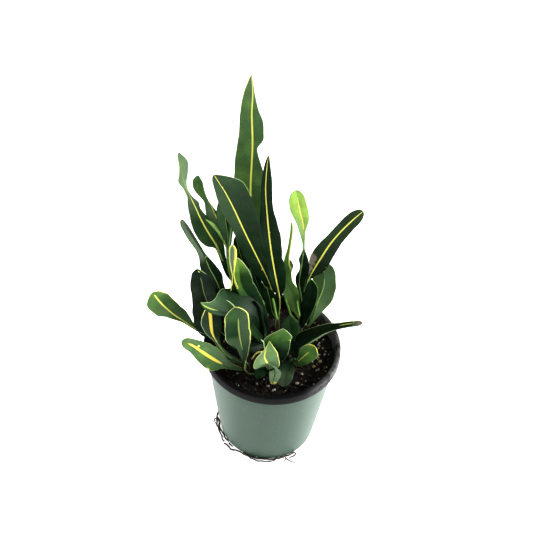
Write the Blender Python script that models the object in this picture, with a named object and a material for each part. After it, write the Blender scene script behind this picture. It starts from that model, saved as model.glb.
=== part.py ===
"""A potted croton: an interrupted-leaf croton plant in a round nursery pot.

Metres, +Z up. The origin is the centre of the pot's underside, where the pot stands.
The camera side of the plant faces -Y. Leaf and stem sizes are listed in millimetres
and turned into metres by MM.
"""
import math
import random
from collections import namedtuple

import bmesh
import bpy
import numpy as np
from mathutils import Matrix, Vector

for old_object in list(bpy.data.objects):
    bpy.data.objects.remove(old_object, do_unlink=True)

MM = 0.001

# Pot: a 152 mm round nursery pot with a rolled lip
POT_RIM_RADIUS = 76 * MM
POT_HEIGHT = 144 * MM
POT_FOOT_RADIUS = 56 * MM
POT_WALL = 1.6 * MM
POT_SIDES = 44
LIP_HEIGHT = 11 * MM
LIP_WALL = 1.5 * MM
LIP_OVERHANG = 4 * MM
FLOOR_THICKNESS = 2.4 * MM
FOOT_FILLET = 3 * MM
UNDERSIDE_PAD_RADIUS = 15 * MM
UNDERSIDE_RING_RADIUS = 38 * MM
UNDERSIDE_RECESS = 1.2 * MM
DRAIN_HOLES = 8
DRAIN_HOLE_RADIUS = 5 * MM
DRAIN_HOLE_FROM_CENTRE = 54 * MM

# Soil: fills the pot to 15 mm below the rim, a little higher in the middle
SOIL_EDGE_LEVEL = 127 * MM
SOIL_MOUND = 3 * MM
SOIL_LUMP = 1.1 * MM
SOIL_RINGS = 7
SOIL_SIDES = 36
TOUCH_GAP = 0.3 * MM

# Stems: each stands in the soil and carries its leaves, in millimetres
STEM_FOOT_LEVEL = 104
STEM_HOLE_CLEARANCE = 0.7
STEM_HOLE_DEPTH_BELOW = 1
STEM_SIDES = 7
STEM_STATIONS = 7

# Leaves: a thin leathery blade with a raised midrib below, in millimetres
BLADE_THICKNESS = 0.8
RIB_DEPTH = 1.3
NARROWEST_HALF_WIDTH = 0.6
BLADE_COLUMNS = (-1.0, -0.5, 0.0, 0.5, 1.0)
STATION_STEP = 16
FEWEST_STATIONS = 6
MOST_STATIONS = 13
CLOSEST_STATIONS = 0.045

# Roots that have grown out through the drain holes
ROOT_RADIUS = 0.9
ROOT_SIDES = 5

Leaf = namedtuple("Leaf", "path faces left right tip fold wave waves")


def leaf(path, faces, left, right=None, tip=12, fold=8, wave=0.0, waves=2.0):
    """One leaf, in millimetres and degrees.

    path: points along the midrib, from inside the stem to the tip.
    faces: azimuth and elevation that the upper side faces, evenly spaced along the leaf.
    left, right: half widths seen from the upper side with the tip up, as pairs of
    percent along the leaf and millimetres. A bare stretch of midrib is about 1 mm.
    tip: percent of the length over which the end is rounded off.
    fold: how far each half is folded up along the midrib, in degrees.
    wave, waves: height and number of the ripples along the margins.
    """
    return Leaf(path, faces, left, right or left, tip, fold, wave, waves)


# Each stem: its own path with the radii at its foot and top, and the leaves on it.
# Leaves that touch each other in shallow angles are joined with the manifold solver.
STEMS = {
    "stem_centre": {
        "path": [(6, 34, STEM_FOOT_LEVEL), (5, 34, 130), (4, 33, 158)],
        "radii": (3.2, 2.4),
        "leaves": [
            # the tallest leaf, with a notch in its right side
            leaf([(4, 33, 150), (-10, 40, 190), (-28, 44, 249), (-33, 46, 315), (-33, 50, 386),
                  (-33, 53, 425), (-36, 56, 448)],
                 [(-80, 10), (-98, 14), (-95, 14)],
                 [(0, 1.5), (15, 2), (30, 10), (45, 15), (63, 16), (75, 13), (85, 12), (93, 9), (97, 5.5), (100, 2)],
                 [(0, 1.5), (15, 2), (30, 9), (50, 11), (68, 10), (73, 4), (78, 9.5), (84, 11), (90, 5), (95, 1.5),
                  (100, 1)], tip=10, fold=5, wave=0.6, waves=6),
            # a narrow leaf in front of it, with waved margins
            leaf([(5, 33, 150), (5, 30, 182), (-2, 26, 224), (-9, 22, 264), (-13, 18, 302), (-16, 15, 339),
                  (-15, 12, 373), (-16, 11, 393)],
                 [(-75, 10), (-85, 12), (-100, 15)],
                 [(0, 1.5), (14, 2), (30, 8), (50, 8.5), (70, 6), (90, 5.5), (100, 3)],
                 [(0, 1.5), (14, 2), (27, 10), (35, 10.5), (42, 8.5), (52, 11), (62, 8), (70, 5), (82, 5.5),
                  (90, 3.5), (100, 2)], tip=14, fold=10, wave=1.4, waves=4),
            # the broad leaf that leans to the left
            leaf([(3, 32, 150), (0, 30, 176), (-7, 25, 214), (-21, 18, 255), (-34, 10, 295), (-45, 3, 330),
                  (-55, -4, 362), (-65, -10, 384)],
                 [(-90, 20), (-98, 22), (-105, 30)],
                 [(0, 1.5), (17, 2), (28, 6), (45, 10), (58, 10), (70, 13), (82, 12), (92, 7.5), (100, 4)],
                 [(0, 1.5), (17, 2), (28, 6), (38, 9), (50, 14), (60, 17.5), (70, 18), (80, 16), (90, 12), (97, 8),
                  (100, 6)], tip=7, fold=4, wave=0.6, waves=5),
            # a short one low down
            leaf([(4, 33, 150), (-3, 26, 168), (-7, 19, 204), (-13, 13, 237)],
                 [(-95, 25)],
                 [(0, 1.4), (15, 4), (45, 7), (75, 7), (100, 4)], tip=14),
        ],
    },
    "stem_left": {
        "path": [(-24, 22, STEM_FOOT_LEVEL), (-28, 22, 150), (-47, 25, 212), (-53, 27, 262)],
        "radii": (3.0, 1.8),
        "leaves": [
            # an interrupted leaf, its upper blade twisted and joined by bare midrib
            leaf([(-47, 25, 212), (-62, 27, 255), (-72, 25, 278), (-81, 23, 303), (-89, 21, 329), (-93, 20, 341),
                  (-94, 18, 356), (-95, 16, 374), (-100, 13, 388)],
                 [(-60, 30), (-75, 25), (-110, 10), (-100, 20)],
                 [(0, 1.3), (18, 2), (28, 10), (38, 12.5), (48, 11), (58, 7), (66, 2), (70, 0.8), (74, 3), (80, 6),
                  (88, 4), (96, 4), (100, 2)],
                 [(0, 1.3), (18, 2), (28, 7), (42, 8), (52, 5), (58, 5), (64, 1.5), (70, 0.8), (76, 1.5), (86, 3.5),
                  (94, 5), (100, 4)], tip=6, fold=4),
            # a smaller interrupted leaf
            leaf([(-52, 27, 255), (-58, 28, 283), (-67, 29, 305), (-75, 31, 319), (-80, 32, 328), (-83, 33, 337),
                  (-84, 34, 347)],
                 [(-70, 20), (-90, 15), (-95, 20)],
                 [(0, 1.2), (12, 2), (30, 5), (42, 4), (50, 1.5), (58, 1), (68, 5), (82, 5.5), (92, 4.5), (100, 3)],
                 [(0, 1.2), (12, 2), (30, 4), (45, 3), (52, 1), (58, 1), (70, 2.5), (82, 4), (92, 4.5), (100, 3)],
                 tip=10),
            # the young leaves at the growing point
            leaf([(-52, 27, 256), (-54, 25, 288), (-57, 24, 306), (-62, 24, 322)],
                 [(-80, 15)],
                 [(0, 1.2), (20, 4), (55, 7.5), (80, 5.5), (100, 2)],
                 [(0, 1.2), (20, 4), (50, 7.5), (80, 5), (100, 2)], tip=15, fold=12),
            leaf([(-53, 27, 257), (-62, 22, 284), (-68, 18, 297), (-74, 14, 307)],
                 [(-60, 60)],
                 [(0, 1.0), (30, 2.2), (70, 2.6), (100, 1.2)], tip=20, fold=20),
            leaf([(-51, 27, 254), (-50, 22, 280), (-49, 20, 295), (-50, 20, 309)],
                 [(-120, 10)],
                 [(0, 1.0), (40, 2.5), (75, 2.5), (100, 1.2)], tip=20, fold=10),
        ],
    },
    "stem_outer_left": {
        "path": [(-38, 4, STEM_FOOT_LEVEL), (-40, 4, 130), (-43, 5, 148)],
        "radii": (3.0, 2.2),
        "leaves": [
            # dark lower blade with a narrow strap above its joint
            leaf([(-43, 5, 144), (-48, 8, 172), (-58, 9, 215), (-67, 7, 240), (-75, 4, 266), (-79, 1, 278),
                  (-87, -4, 302), (-95, -10, 327)],
                 [(-60, 20), (-60, 30), (-70, 35), (-110, 40)],
                 [(0, 1.4), (12, 2), (25, 9), (40, 9.5), (52, 6), (58, 3.5), (64, 2.5), (72, 4), (85, 4), (100, 3)],
                 [(0, 1.4), (12, 2), (22, 8), (35, 8.5), (48, 7), (58, 2.5), (64, 2.5), (72, 4), (85, 4), (100, 3)],
                 tip=6),
            # the broad dark leaf beside it
            leaf([(-42, 5, 141), (-55, 3, 151), (-66, 0, 176), (-72, -3, 210), (-78, -5, 234), (-81, -7, 260)],
                 [(-90, 20), (-100, 15)],
                 [(0, 1.4), (10, 3), (22, 14), (35, 16), (55, 15), (75, 12), (90, 8), (100, 4)],
                 [(0, 1.4), (10, 3), (25, 8), (50, 10), (75, 10), (90, 7), (100, 4)], tip=8),
            # the mid green one that reaches furthest left
            leaf([(-42, 5, 142), (-67, 1, 150), (-82, -3, 163), (-94, -7, 177), (-106, -11, 192), (-117, -15, 210),
                  (-128, -19, 228)],
                 [(-80, 60), (-85, 55), (-90, 50)],
                 [(0, 1.4), (30, 2), (45, 4), (60, 8), (80, 12), (92, 12), (100, 9)],
                 [(0, 1.4), (30, 2), (42, 5), (55, 9), (75, 11.5), (92, 9), (100, 6)], tip=8, fold=5),
        ],
    },
    "stem_middle": {
        "path": [(-8, 4, STEM_FOOT_LEVEL), (-8, 4, 130), (-8, 5, 146)],
        "radii": (3.0, 2.2),
        "leaves": [
            # the arching leaf that ends in a drip tip
            leaf([(-8, 4, 144), (-12, 2, 165), (-21, -5, 204), (-34, -12, 226), (-49, -17, 228), (-63, -21, 222),
                  (-76, -25, 230)],
                 [(-20, 40), (-60, 45), (-100, 60), (-110, 50)],
                 [(0, 1.4), (12, 3), (30, 12), (50, 13), (70, 12), (80, 7), (90, 2.5), (100, 1)],
                 [(0, 1.4), (12, 3), (25, 8), (45, 11), (65, 11), (80, 5), (90, 2.5), (100, 1)], tip=5, fold=-8),
            # bright green tongue
            leaf([(-8, 5, 144), (-12, 6, 174), (-22, 6, 208), (-31, 5, 232), (-38, 3, 256), (-42, 2, 272)],
                 [(-80, 30), (-85, 30), (-95, 30)],
                 [(0, 1.4), (12, 3), (40, 8), (70, 7), (90, 3), (100, 1.5)],
                 [(0, 1.4), (12, 3), (35, 10), (60, 10), (80, 6), (92, 3), (100, 1.5)], tip=8, fold=6),
            # interrupted leaf with a small folded blade at its tip
            leaf([(-8, 3, 143), (-17, 0, 177), (-28, -6, 208), (-38, -8, 233), (-45, -8, 256), (-46, -9, 271),
                  (-46, -12, 300)],
                 [(-80, 30), (-85, 30), (-95, 30)],
                 [(0, 1.4), (20, 3), (50, 5), (64, 4), (71, 1), (76, 1), (84, 3), (92, 3.4), (100, 3)],
                 [(0, 1.4), (20, 3), (50, 4), (64, 2.5), (71, 1), (76, 1), (84, 4), (92, 4.4), (100, 3)],
                 tip=8, fold=15),
            # dark leaves in the heart of the plant
            leaf([(-7, 6, 143), (-8, 8, 152), (-15, 11, 185), (-21, 13, 209), (-29, 15, 242)],
                 [(-95, 20)],
                 [(0, 1.4), (10, 3), (30, 6), (70, 5), (90, 3), (100, 1.5)], tip=10, fold=14),
            leaf([(-8, 4, 139), (-13, 0, 150), (-19, 0, 174), (-23, 3, 208)],
                 [(-95, 25)],
                 [(0, 1.4), (15, 4), (45, 8), (75, 8), (100, 4)], tip=12, fold=10),
            leaf([(-8, 4, 137), (-20, -6, 143), (-34, -13, 155), (-47, -18, 172)],
                 [(-95, 45)],
                 [(0, 1.4), (25, 6), (60, 9), (85, 8), (100, 4)], tip=14),
        ],
    },
    "stem_front_left": {
        "path": [(-26, -30, STEM_FOOT_LEVEL), (-25, -30, 130), (-25, -29, 142)],
        "radii": (3.0, 2.2),
        "leaves": [
            # upright spoon with a shoulder low on its left side
            leaf([(-25, -29, 138), (-29, -31, 146), (-32, -33, 170), (-35, -36, 194), (-37, -40, 220),
                  (-40, -43, 237), (-42, -44, 246)],
                 [(-50, 20), (-88, 25), (-80, 35)],
                 [(0, 1.4), (12, 3), (30, 4.5), (43, 5), (50, 14), (70, 15), (85, 12), (95, 9), (100, 7)],
                 [(0, 1.4), (8, 3), (30, 6), (50, 10), (65, 12.5), (80, 12), (92, 9), (100, 7)], fold=5),
            # dark spoon behind it, interrupted above its lower blade
            leaf([(-25, -29, 137), (-39, -29, 146), (-48, -27, 153), (-59, -25, 166), (-64, -25, 182),
                  (-66, -27, 203), (-67, -30, 230)],
                 [(-90, 60), (-95, 40), (-100, 35)],
                 [(0, 1.4), (10, 2), (20, 4), (36, 4), (46, 1), (60, 5.5), (75, 10.5), (90, 10), (100, 6)],
                 [(0, 1.4), (10, 3), (22, 9), (36, 7), (46, 1), (60, 6), (75, 11), (90, 11), (100, 6)],
                 tip=14, fold=5),
            # the leaf that hangs out over the rim
            leaf([(-26, -31, 134), (-33, -33, 136), (-47, -37, 147), (-63, -41, 163), (-75, -43, 177),
                  (-85, -45, 188), (-94, -46, 191)],
                 [(-95, 65), (-95, 60)],
                 [(0, 1.4), (18, 2), (30, 7), (45, 11), (60, 12.5), (75, 11), (90, 8), (100, 5)],
                 [(0, 1.4), (10, 3), (25, 7), (45, 10), (65, 12), (80, 11), (92, 7), (100, 5)], tip=10, fold=-3),
        ],
    },
    "stem_front": {
        "path": [(-3, -32, STEM_FOOT_LEVEL), (-2, -32, 130), (-2, -31, 142)],
        "radii": (3.0, 2.2),
        "solver": "MANIFOLD",
        "leaves": [
            # short curled leaf like a saddle, and its flap
            leaf([(-2, -33, 140), (-6, -42, 152), (-7, -47, 175), (-7, -46, 188), (-4, -43, 199)],
                 [(-90, 30), (-90, 50), (-90, 50)],
                 [(0, 1.4), (22, 4), (36, 14), (45, 16), (62, 10), (80, 4.5), (100, 1.5)],
                 [(0, 1.4), (22, 5), (36, 14), (55, 14), (75, 9), (92, 4), (100, 1.5)], tip=8, fold=-14),
            leaf([(0, -34, 138), (0, -40, 158), (1, -46, 168), (3, -52, 168), (4, -55, 158), (3, -56, 145)],
                 [(100, 60), (80, 10), (80, -10)],
                 [(0, 1.4), (30, 4), (55, 5), (80, 5), (100, 4)], tip=15, fold=10),
            # green leaf that faces the front
            leaf([(-2, -31, 138), (2, -33, 154), (5, -36, 178), (9, -38, 198), (14, -39, 208)],
                 [(-90, 30), (-85, 40)],
                 [(0, 1.4), (20, 3), (42, 11), (62, 14), (82, 11), (94, 7), (100, 4)],
                 [(0, 1.4), (20, 3), (42, 8), (65, 12), (85, 10), (100, 5)], tip=12, fold=-5),
            # small leaves round its foot
            leaf([(-3, -32, 139), (-5, -34, 158), (-9, -36, 170), (-15, -40, 175), (-21, -46, 170)],
                 [(-70, 60)],
                 [(0, 1.2), (30, 2), (60, 3), (100, 1)], tip=15),
            leaf([(-3, -33, 136), (-8, -37, 142), (-12, -42, 143), (-15, -48, 140)],
                 [(-90, 60)],
                 [(0, 1.4), (40, 6), (75, 6), (100, 3)], tip=25),
        ],
    },
    "stem_right": {
        "path": [(30, 30, STEM_FOOT_LEVEL), (31, 31, 130), (32, 32, 150)],
        "radii": (3.0, 2.2),
        "leaves": [
            # long strap that leans to the right
            leaf([(32, 33, 146), (32, 41, 179), (37, 46, 204), (45, 48, 230), (58, 48, 261), (71, 47, 287),
                  (80, 46, 303)],
                 [(-100, 30), (-110, 35), (-110, 40)],
                 [(0, 1.4), (14, 2), (26, 8), (42, 11), (60, 9.5), (80, 9), (94, 7.5), (100, 6)],
                 [(0, 1.4), (14, 2), (26, 8), (38, 11), (45, 10.5), (60, 8.5), (80, 8), (94, 8), (100, 6)],
                 tip=7, fold=5),
            # interrupted leaf: lobed dark blade, bare midrib, and a young lime blade on top
            leaf([(31, 32, 146), (29, 31, 186), (28, 33, 212), (25, 35, 237), (26, 38, 254), (23, 41, 274),
                  (21, 44, 289), (17, 47, 305), (12, 49, 323)],
                 [(-100, 10), (-110, 10), (-90, 10), (-85, 15), (-80, 15)],
                 [(0, 1.4), (12, 2), (22, 3), (30, 8), (37, 3), (43, 4.5), (50, 1), (60, 1), (68, 4), (78, 8.5),
                  (88, 8), (96, 6.5), (100, 5)],
                 [(0, 1.4), (12, 2), (22, 5.5), (34, 7), (43, 5), (50, 0.8), (60, 1), (68, 4), (77, 8), (88, 8.5),
                  (96, 7), (100, 5)], tip=8, fold=6),
            # light green leaf, broad at its foot and drawn out to a sliver
            leaf([(31, 31, 145), (25, 32, 168), (18, 34, 188), (12, 36, 211), (10, 39, 232), (11, 42, 257),
                  (11, 45, 282)],
                 [(-90, 20), (-90, 20), (-110, 10), (-120, 10)],
                 [(0, 1.4), (12, 3), (25, 7), (45, 6), (60, 3), (75, 1.2), (100, 1)],
                 [(0, 1.4), (12, 4), (25, 9), (38, 7), (50, 2.5), (62, 2), (80, 1.2), (100, 1)], tip=5),
            # dark leaf in front
            leaf([(31, 31, 145), (31, 20, 152), (34, 17, 177), (37, 14, 198), (38, 11, 219), (35, 9, 239)],
                 [(-120, 20), (-100, 20), (-100, 40)],
                 [(0, 1.4), (15, 3), (35, 6.5), (65, 6.5), (90, 5), (100, 4)], tip=14, fold=12),
        ],
    },
    "stem_outer_right": {
        "path": [(40, 38, STEM_FOOT_LEVEL), (40, 38, 125), (40, 38, 134)],
        "radii": (2.4, 1.8),
        "leaves": [
            # broad leaf that turns its underside to the front
            leaf([(40, 38, 131), (44, 41, 140), (51, 46, 165), (53, 51, 191), (51, 57, 224)],
                 [(80, -10), (85, -10), (85, -10)],
                 [(0, 1.4), (8, 2), (25, 8), (50, 13), (70, 13.5), (88, 10), (100, 6)],
                 [(0, 1.4), (8, 2), (25, 7), (50, 12), (70, 12), (88, 10), (100, 6)], tip=14, fold=4),
        ],
    },
    "stem_front_right": {
        "path": [(24, -12, STEM_FOOT_LEVEL), (24, -12, 130), (24, -12, 142)],
        "radii": (3.0, 2.2),
        "leaves": [
            # the folded leaf that passes over the rim on the right
            leaf([(24, -12, 138), (26, -10, 151), (35, -9, 163), (48, -10, 176), (64, -12, 189), (79, -14, 199),
                  (92, -15, 204)],
                 [(-120, 70), (-110, 60), (-100, 60)],
                 [(0, 1.4), (12, 3), (25, 8), (45, 6), (65, 4), (85, 3), (100, 2)],
                 [(0, 1.4), (12, 3), (25, 9), (45, 6), (65, 4), (85, 3), (100, 2)], tip=6, fold=20),
            # short ones around it
            leaf([(24, -12, 137), (26, -17, 141), (31, -23, 149), (36, -26, 159), (42, -28, 169), (46, -30, 178)],
                 [(-80, 50)],
                 [(0, 1.4), (15, 2), (35, 7), (60, 9.5), (85, 8), (100, 5)],
                 [(0, 1.4), (15, 3), (35, 8), (60, 10), (85, 8), (100, 5)], tip=20, fold=4),
            leaf([(23, -13, 137), (22, -22, 142), (19, -33, 145), (16, -44, 143), (16, -53, 136)],
                 [(-90, 50), (-90, 45)],
                 [(0, 1.4), (30, 3), (50, 7), (75, 9), (100, 5)], tip=22, fold=4),
            leaf([(24, -12, 139), (21, -6, 155), (19, -2, 166), (17, 2, 178), (15, 5, 190)],
                 [(-90, 50)],
                 [(0, 1.4), (15, 3), (45, 8), (75, 9), (100, 4)], tip=25, fold=4),
            leaf([(24, -12, 137), (25, -16, 146), (23, -18, 158), (22, -19, 173)],
                 [(-95, 35)],
                 [(0, 1.4), (20, 4), (60, 6), (100, 3)], tip=20),
        ],
    },
    "stem_back": {
        "path": [(-8, 52, STEM_FOOT_LEVEL), (-9, 53, 140), (-12, 55, 180)],
        "radii": (3.2, 2.0),
        "leaves": [
            leaf([(-12, 55, 175), (-16, 60, 196), (-22, 65, 244), (-27, 70, 289)],
                 [(90, 10), (90, 5)],
                 [(0, 1.4), (15, 3), (50, 11), (80, 9), (100, 4)], tip=8),
            leaf([(-11, 55, 166), (-5, 60, 180), (-4, 67, 213), (-9, 73, 257)],
                 [(70, 10), (80, 5)],
                 [(0, 1.4), (15, 3), (45, 9), (80, 8), (100, 4)], tip=10),
            leaf([(-12, 55, 168), (-22, 60, 179), (-31, 67, 200), (-36, 70, 231)],
                 [(110, 10), (100, 10)],
                 [(0, 1.4), (15, 3), (50, 9), (80, 8), (100, 4)], tip=10),
            leaf([(-10, 54, 150), (-4, 62, 160), (6, 70, 178), (14, 75, 200)],
                 [(80, 50), (80, 40)],
                 [(0, 1.4), (20, 3), (60, 10), (85, 8), (100, 4)], tip=15, fold=4),
            leaf([(-10, 54, 146), (-24, 60, 158), (-36, 64, 176), (-46, 66, 198)],
                 [(120, 50), (120, 40)],
                 [(0, 1.4), (20, 3), (60, 10), (85, 8), (100, 4)], tip=15, fold=4),
        ],
    },
}

# Roots: strands on the ground round the pot's foot, as points in millimetres
ROOT_STRANDS = [
    [(-50, 19, 3.4), (-59, 20, 2.0), (-61, 10, 1.2), (-61, 0, 1.2), (-59, -10, 1.2), (-56, -20, 1.2), (-52, -28, 1.2),
     (-48, -36, 1.2), (-41, -43, 1.2), (-32, -49, 1.2), (-22, -54, 1.2), (-10, -59, 1.2), (2, -60, 1.2), (13, -59, 1.2),
     (22, -57, 1.2), (30, -53, 1.2), (35, -48, 1.2)],
    [(-59, -8, 1.2), (-64, -14, 1.2), (-60, -24, 1.2), (-52, -28, 1.2)],
    [(-48, -36, 1.2), (-50, -45, 1.2), (-41, -50, 1.2), (-30, -51, 1.2)],
    [(-10, -59, 1.2), (-2, -65, 1.2), (10, -63, 1.2), (22, -57, 1.2)],
    [(22, -57, 1.2), (30, -62, 1.2), (38, -57, 1.2)],
]
ROOT_TAPER = 0.35


def material(name, colour, roughness):
    made = bpy.data.materials.new(name)
    made.use_nodes = True
    shader = made.node_tree.nodes["Principled BSDF"]
    shader.inputs["Base Color"].default_value = (*colour, 1)
    shader.inputs["Roughness"].default_value = roughness
    shader.inputs["Metallic"].default_value = 0.0
    return made


POT_GREEN = material("pot_green", (0.14, 0.24, 0.17), 0.45)
SOIL_BROWN = material("soil_brown", (0.02, 0.014, 0.01), 0.95)
LEAF_GREEN = material("leaf_green", (0.03, 0.09, 0.03), 0.4)
ROOT_BROWN = material("root_brown", (0.05, 0.03, 0.02), 0.9)


def add_object(name, mesh, finish):
    made = bpy.data.objects.new(name, mesh)
    bpy.context.collection.objects.link(made)
    made.data.materials.append(finish)
    return made


def mesh_from(name, points, faces, scale=MM):
    """A closed mesh from points and triangles, with its faces turned outwards."""
    mesh = bpy.data.meshes.new(name)
    mesh.from_pydata([tuple(Vector(point) * scale) for point in points], [], faces)
    shape = bmesh.new()
    shape.from_mesh(mesh)
    bmesh.ops.recalc_face_normals(shape, faces=shape.faces)
    shape.to_mesh(mesh)
    shape.free()
    return mesh


def turned_mesh(name, profile, sides):
    """Spin a closed outline of (radius, height) points about the Z axis."""
    shape = bmesh.new()
    ring = [shape.verts.new((radius, 0, height)) for radius, height in profile]
    edges = [shape.edges.new((ring[i], ring[i + 1])) for i in range(len(ring) - 1)]
    bmesh.ops.spin(shape, geom=ring + edges, cent=(0, 0, 0), axis=(0, 0, 1), angle=math.tau, steps=sides,
                   use_merge=True)
    bmesh.ops.remove_doubles(shape, verts=shape.verts, dist=0.01 * MM)
    bmesh.ops.dissolve_degenerate(shape, edges=shape.edges, dist=0.005 * MM)
    bmesh.ops.recalc_face_normals(shape, faces=shape.faces)
    mesh = bpy.data.meshes.new(name)
    shape.to_mesh(mesh)
    shape.free()
    return mesh


def shade(made, angle=35):
    made.data.shade_smooth()
    made.data.set_sharp_from_angle(angle=math.radians(angle))


def apply_boolean(target, operation, operand=None, collection=None, solver="EXACT"):
    """Cut or join, then keep the result as the object's own mesh."""
    cut = target.modifiers.new(operation.lower(), "BOOLEAN")
    cut.operation = operation
    cut.solver = solver
    if collection:
        cut.operand_type = "COLLECTION"
        cut.collection = collection
    else:
        cut.object = operand
    graph = bpy.context.evaluated_depsgraph_get()
    result = bpy.data.meshes.new_from_object(target.evaluated_get(graph))
    target.modifiers.clear()
    target.data = result


def wall_radius(height):
    """Outer radius of the pot's tapered wall at a height."""
    top_radius = POT_RIM_RADIUS - LIP_OVERHANG
    return POT_FOOT_RADIUS + (top_radius - POT_FOOT_RADIUS) * height / (POT_HEIGHT - LIP_HEIGHT)


def make_pot():
    lip_bottom = POT_HEIGHT - LIP_HEIGHT
    lip_inside = POT_RIM_RADIUS - LIP_WALL
    round_off = 2 * MM
    fillet = [
        (wall_radius(0) - FOOT_FILLET * (1 - math.sin(angle)), FOOT_FILLET * (1 - math.cos(angle)))
        for angle in (0, math.radians(45), math.radians(90))
    ]
    profile = [
        (0, 0),
        (UNDERSIDE_PAD_RADIUS, 0),
        (UNDERSIDE_PAD_RADIUS + UNDERSIDE_RECESS, UNDERSIDE_RECESS),
        (UNDERSIDE_RING_RADIUS - UNDERSIDE_RECESS, UNDERSIDE_RECESS),
        (UNDERSIDE_RING_RADIUS, 0),
        *fillet,
        (wall_radius(lip_bottom * 0.5), lip_bottom * 0.5),
        (wall_radius(lip_bottom), lip_bottom),
        (wall_radius(lip_bottom), POT_HEIGHT - 2.2 * LIP_WALL),
        (lip_inside, POT_HEIGHT - 2.2 * LIP_WALL),
        (lip_inside, lip_bottom + 0.4 * MM),
        (lip_inside + LIP_WALL * 0.5, lip_bottom),
        (POT_RIM_RADIUS, lip_bottom + 0.8 * MM),
        (POT_RIM_RADIUS, POT_HEIGHT - round_off),
        (POT_RIM_RADIUS - round_off * 0.3, POT_HEIGHT - round_off * 0.3),
        (POT_RIM_RADIUS - round_off, POT_HEIGHT),
        (wall_radius(lip_bottom) - POT_WALL + round_off, POT_HEIGHT),
        (wall_radius(lip_bottom) - POT_WALL - round_off * 0.2, POT_HEIGHT - round_off * 0.5),
        (wall_radius(lip_bottom) - POT_WALL - round_off * 0.5, POT_HEIGHT - round_off * 2),
        (wall_radius(lip_bottom) - POT_WALL, lip_bottom),
        (wall_radius(lip_bottom * 0.5) - POT_WALL, lip_bottom * 0.5),
        (wall_radius(FLOOR_THICKNESS) - POT_WALL, FLOOR_THICKNESS + 2 * MM),
        (wall_radius(0) - POT_WALL - FOOT_FILLET, FLOOR_THICKNESS),
        (0, FLOOR_THICKNESS),
    ]
    pot = add_object("pot", turned_mesh("pot", profile, POT_SIDES), POT_GREEN)
    for i in range(DRAIN_HOLES):
        angle = math.tau * (i + 0.5) / DRAIN_HOLES
        centre = (DRAIN_HOLE_FROM_CENTRE * math.cos(angle), DRAIN_HOLE_FROM_CENTRE * math.sin(angle), 0)
        cut_round_hole(pot, Vector(centre), Vector((0, 0, 1)), DRAIN_HOLE_RADIUS, 16 * MM)
    shade(pot)
    return pot


def cut_round_hole(target, centre, direction, radius, length, sides=12):
    shape = bmesh.new()
    turn = direction.to_track_quat("Z", "Y").to_matrix().to_4x4()
    bmesh.ops.create_cone(shape, cap_ends=True, segments=sides, radius1=radius, radius2=radius, depth=length,
                          matrix=Matrix.Translation(centre) @ turn)
    mesh = bpy.data.meshes.new("cutter")
    shape.to_mesh(mesh)
    shape.free()
    cutter = bpy.data.objects.new("cutter", mesh)
    bpy.context.collection.objects.link(cutter)
    apply_boolean(target, "DIFFERENCE", operand=cutter)
    bpy.data.objects.remove(cutter, do_unlink=True)


def smooth_line(points, count=241):
    """A smooth curve through the points, sampled evenly by length, with its length."""
    given = np.array(points, float)
    knots = np.concatenate([[0], np.cumsum(np.linalg.norm(np.diff(given, axis=0), axis=1) ** 0.5)])
    slopes = np.gradient(given, knots, axis=0, edge_order=2)
    pieces = []
    for i in range(len(given) - 1):
        span = knots[i + 1] - knots[i]
        t = np.linspace(0, 1, 60)[:, None]
        pieces.append((2 * t**3 - 3 * t**2 + 1) * given[i] + (t**3 - 2 * t**2 + t) * span * slopes[i]
                      + (3 * t**2 - 2 * t**3) * given[i + 1] + (t**3 - t**2) * span * slopes[i + 1])
    dense = np.vstack(pieces)
    run = np.concatenate([[0], np.cumsum(np.linalg.norm(np.diff(dense, axis=0), axis=1))])
    even = np.linspace(0, run[-1], count)
    line = np.stack([np.interp(even, run, dense[:, k]) for k in range(3)], 1)
    return line, run[-1]


def listed_value(rows, share):
    """The value at a share of the length, from (percent, value) rows, flat at turning points."""
    x = np.array([row[0] for row in rows], float) / 100
    y = np.array([row[1] for row in rows], float)
    steps = np.diff(x)
    slopes = np.diff(y) / steps
    bends = np.zeros(len(x))
    bends[0], bends[-1] = slopes[0], slopes[-1]
    for i in range(1, len(x) - 1):
        if slopes[i - 1] * slopes[i] > 0:
            before = 2 * steps[i] + steps[i - 1]
            after = steps[i] + 2 * steps[i - 1]
            bends[i] = (before + after) / (before / slopes[i - 1] + after / slopes[i])
    i = int(np.clip(np.searchsorted(x, share) - 1, 0, len(x) - 2))
    t = (share - x[i]) / steps[i]
    return ((2 * t**3 - 3 * t**2 + 1) * y[i] + (t**3 - 2 * t**2 + t) * steps[i] * bends[i]
            + (3 * t**2 - 2 * t**3) * y[i + 1] + (t**3 - t**2) * steps[i] * bends[i + 1])


def direction(azimuth, elevation):
    azimuth, elevation = math.radians(azimuth), math.radians(elevation)
    return np.array([math.cos(azimuth) * math.cos(elevation), math.sin(azimuth) * math.cos(elevation),
                     math.sin(elevation)])


def leaf_frame(line, faces, share):
    """Centre of the midrib, the upper side's normal and the sideways direction at a share of the length."""
    last = len(line) - 1
    i = round(share * last)
    tangent = line[min(last, i + 4)] - line[max(0, i - 4)]
    tangent /= np.linalg.norm(tangent)
    normals = [direction(*face) for face in faces]
    place = share * (len(normals) - 1)
    first = min(int(place), max(0, len(normals) - 2))
    second = min(first + 1, len(normals) - 1)
    normal = normals[first] + (normals[second] - normals[first]) * (place - first)
    normal = normal - normal @ tangent * tangent
    normal /= np.linalg.norm(normal)
    return line[i], normal, np.cross(tangent, normal)


def half_width(blade, share, right_side):
    width = listed_value(blade.right if right_side else blade.left, share)
    tip = blade.tip / 100
    if share > 1 - tip:
        width *= math.sqrt(max(0.0, 1 - ((share - 1 + tip) / tip) ** 2))
    return max(width, NARROWEST_HALF_WIDTH)


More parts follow.
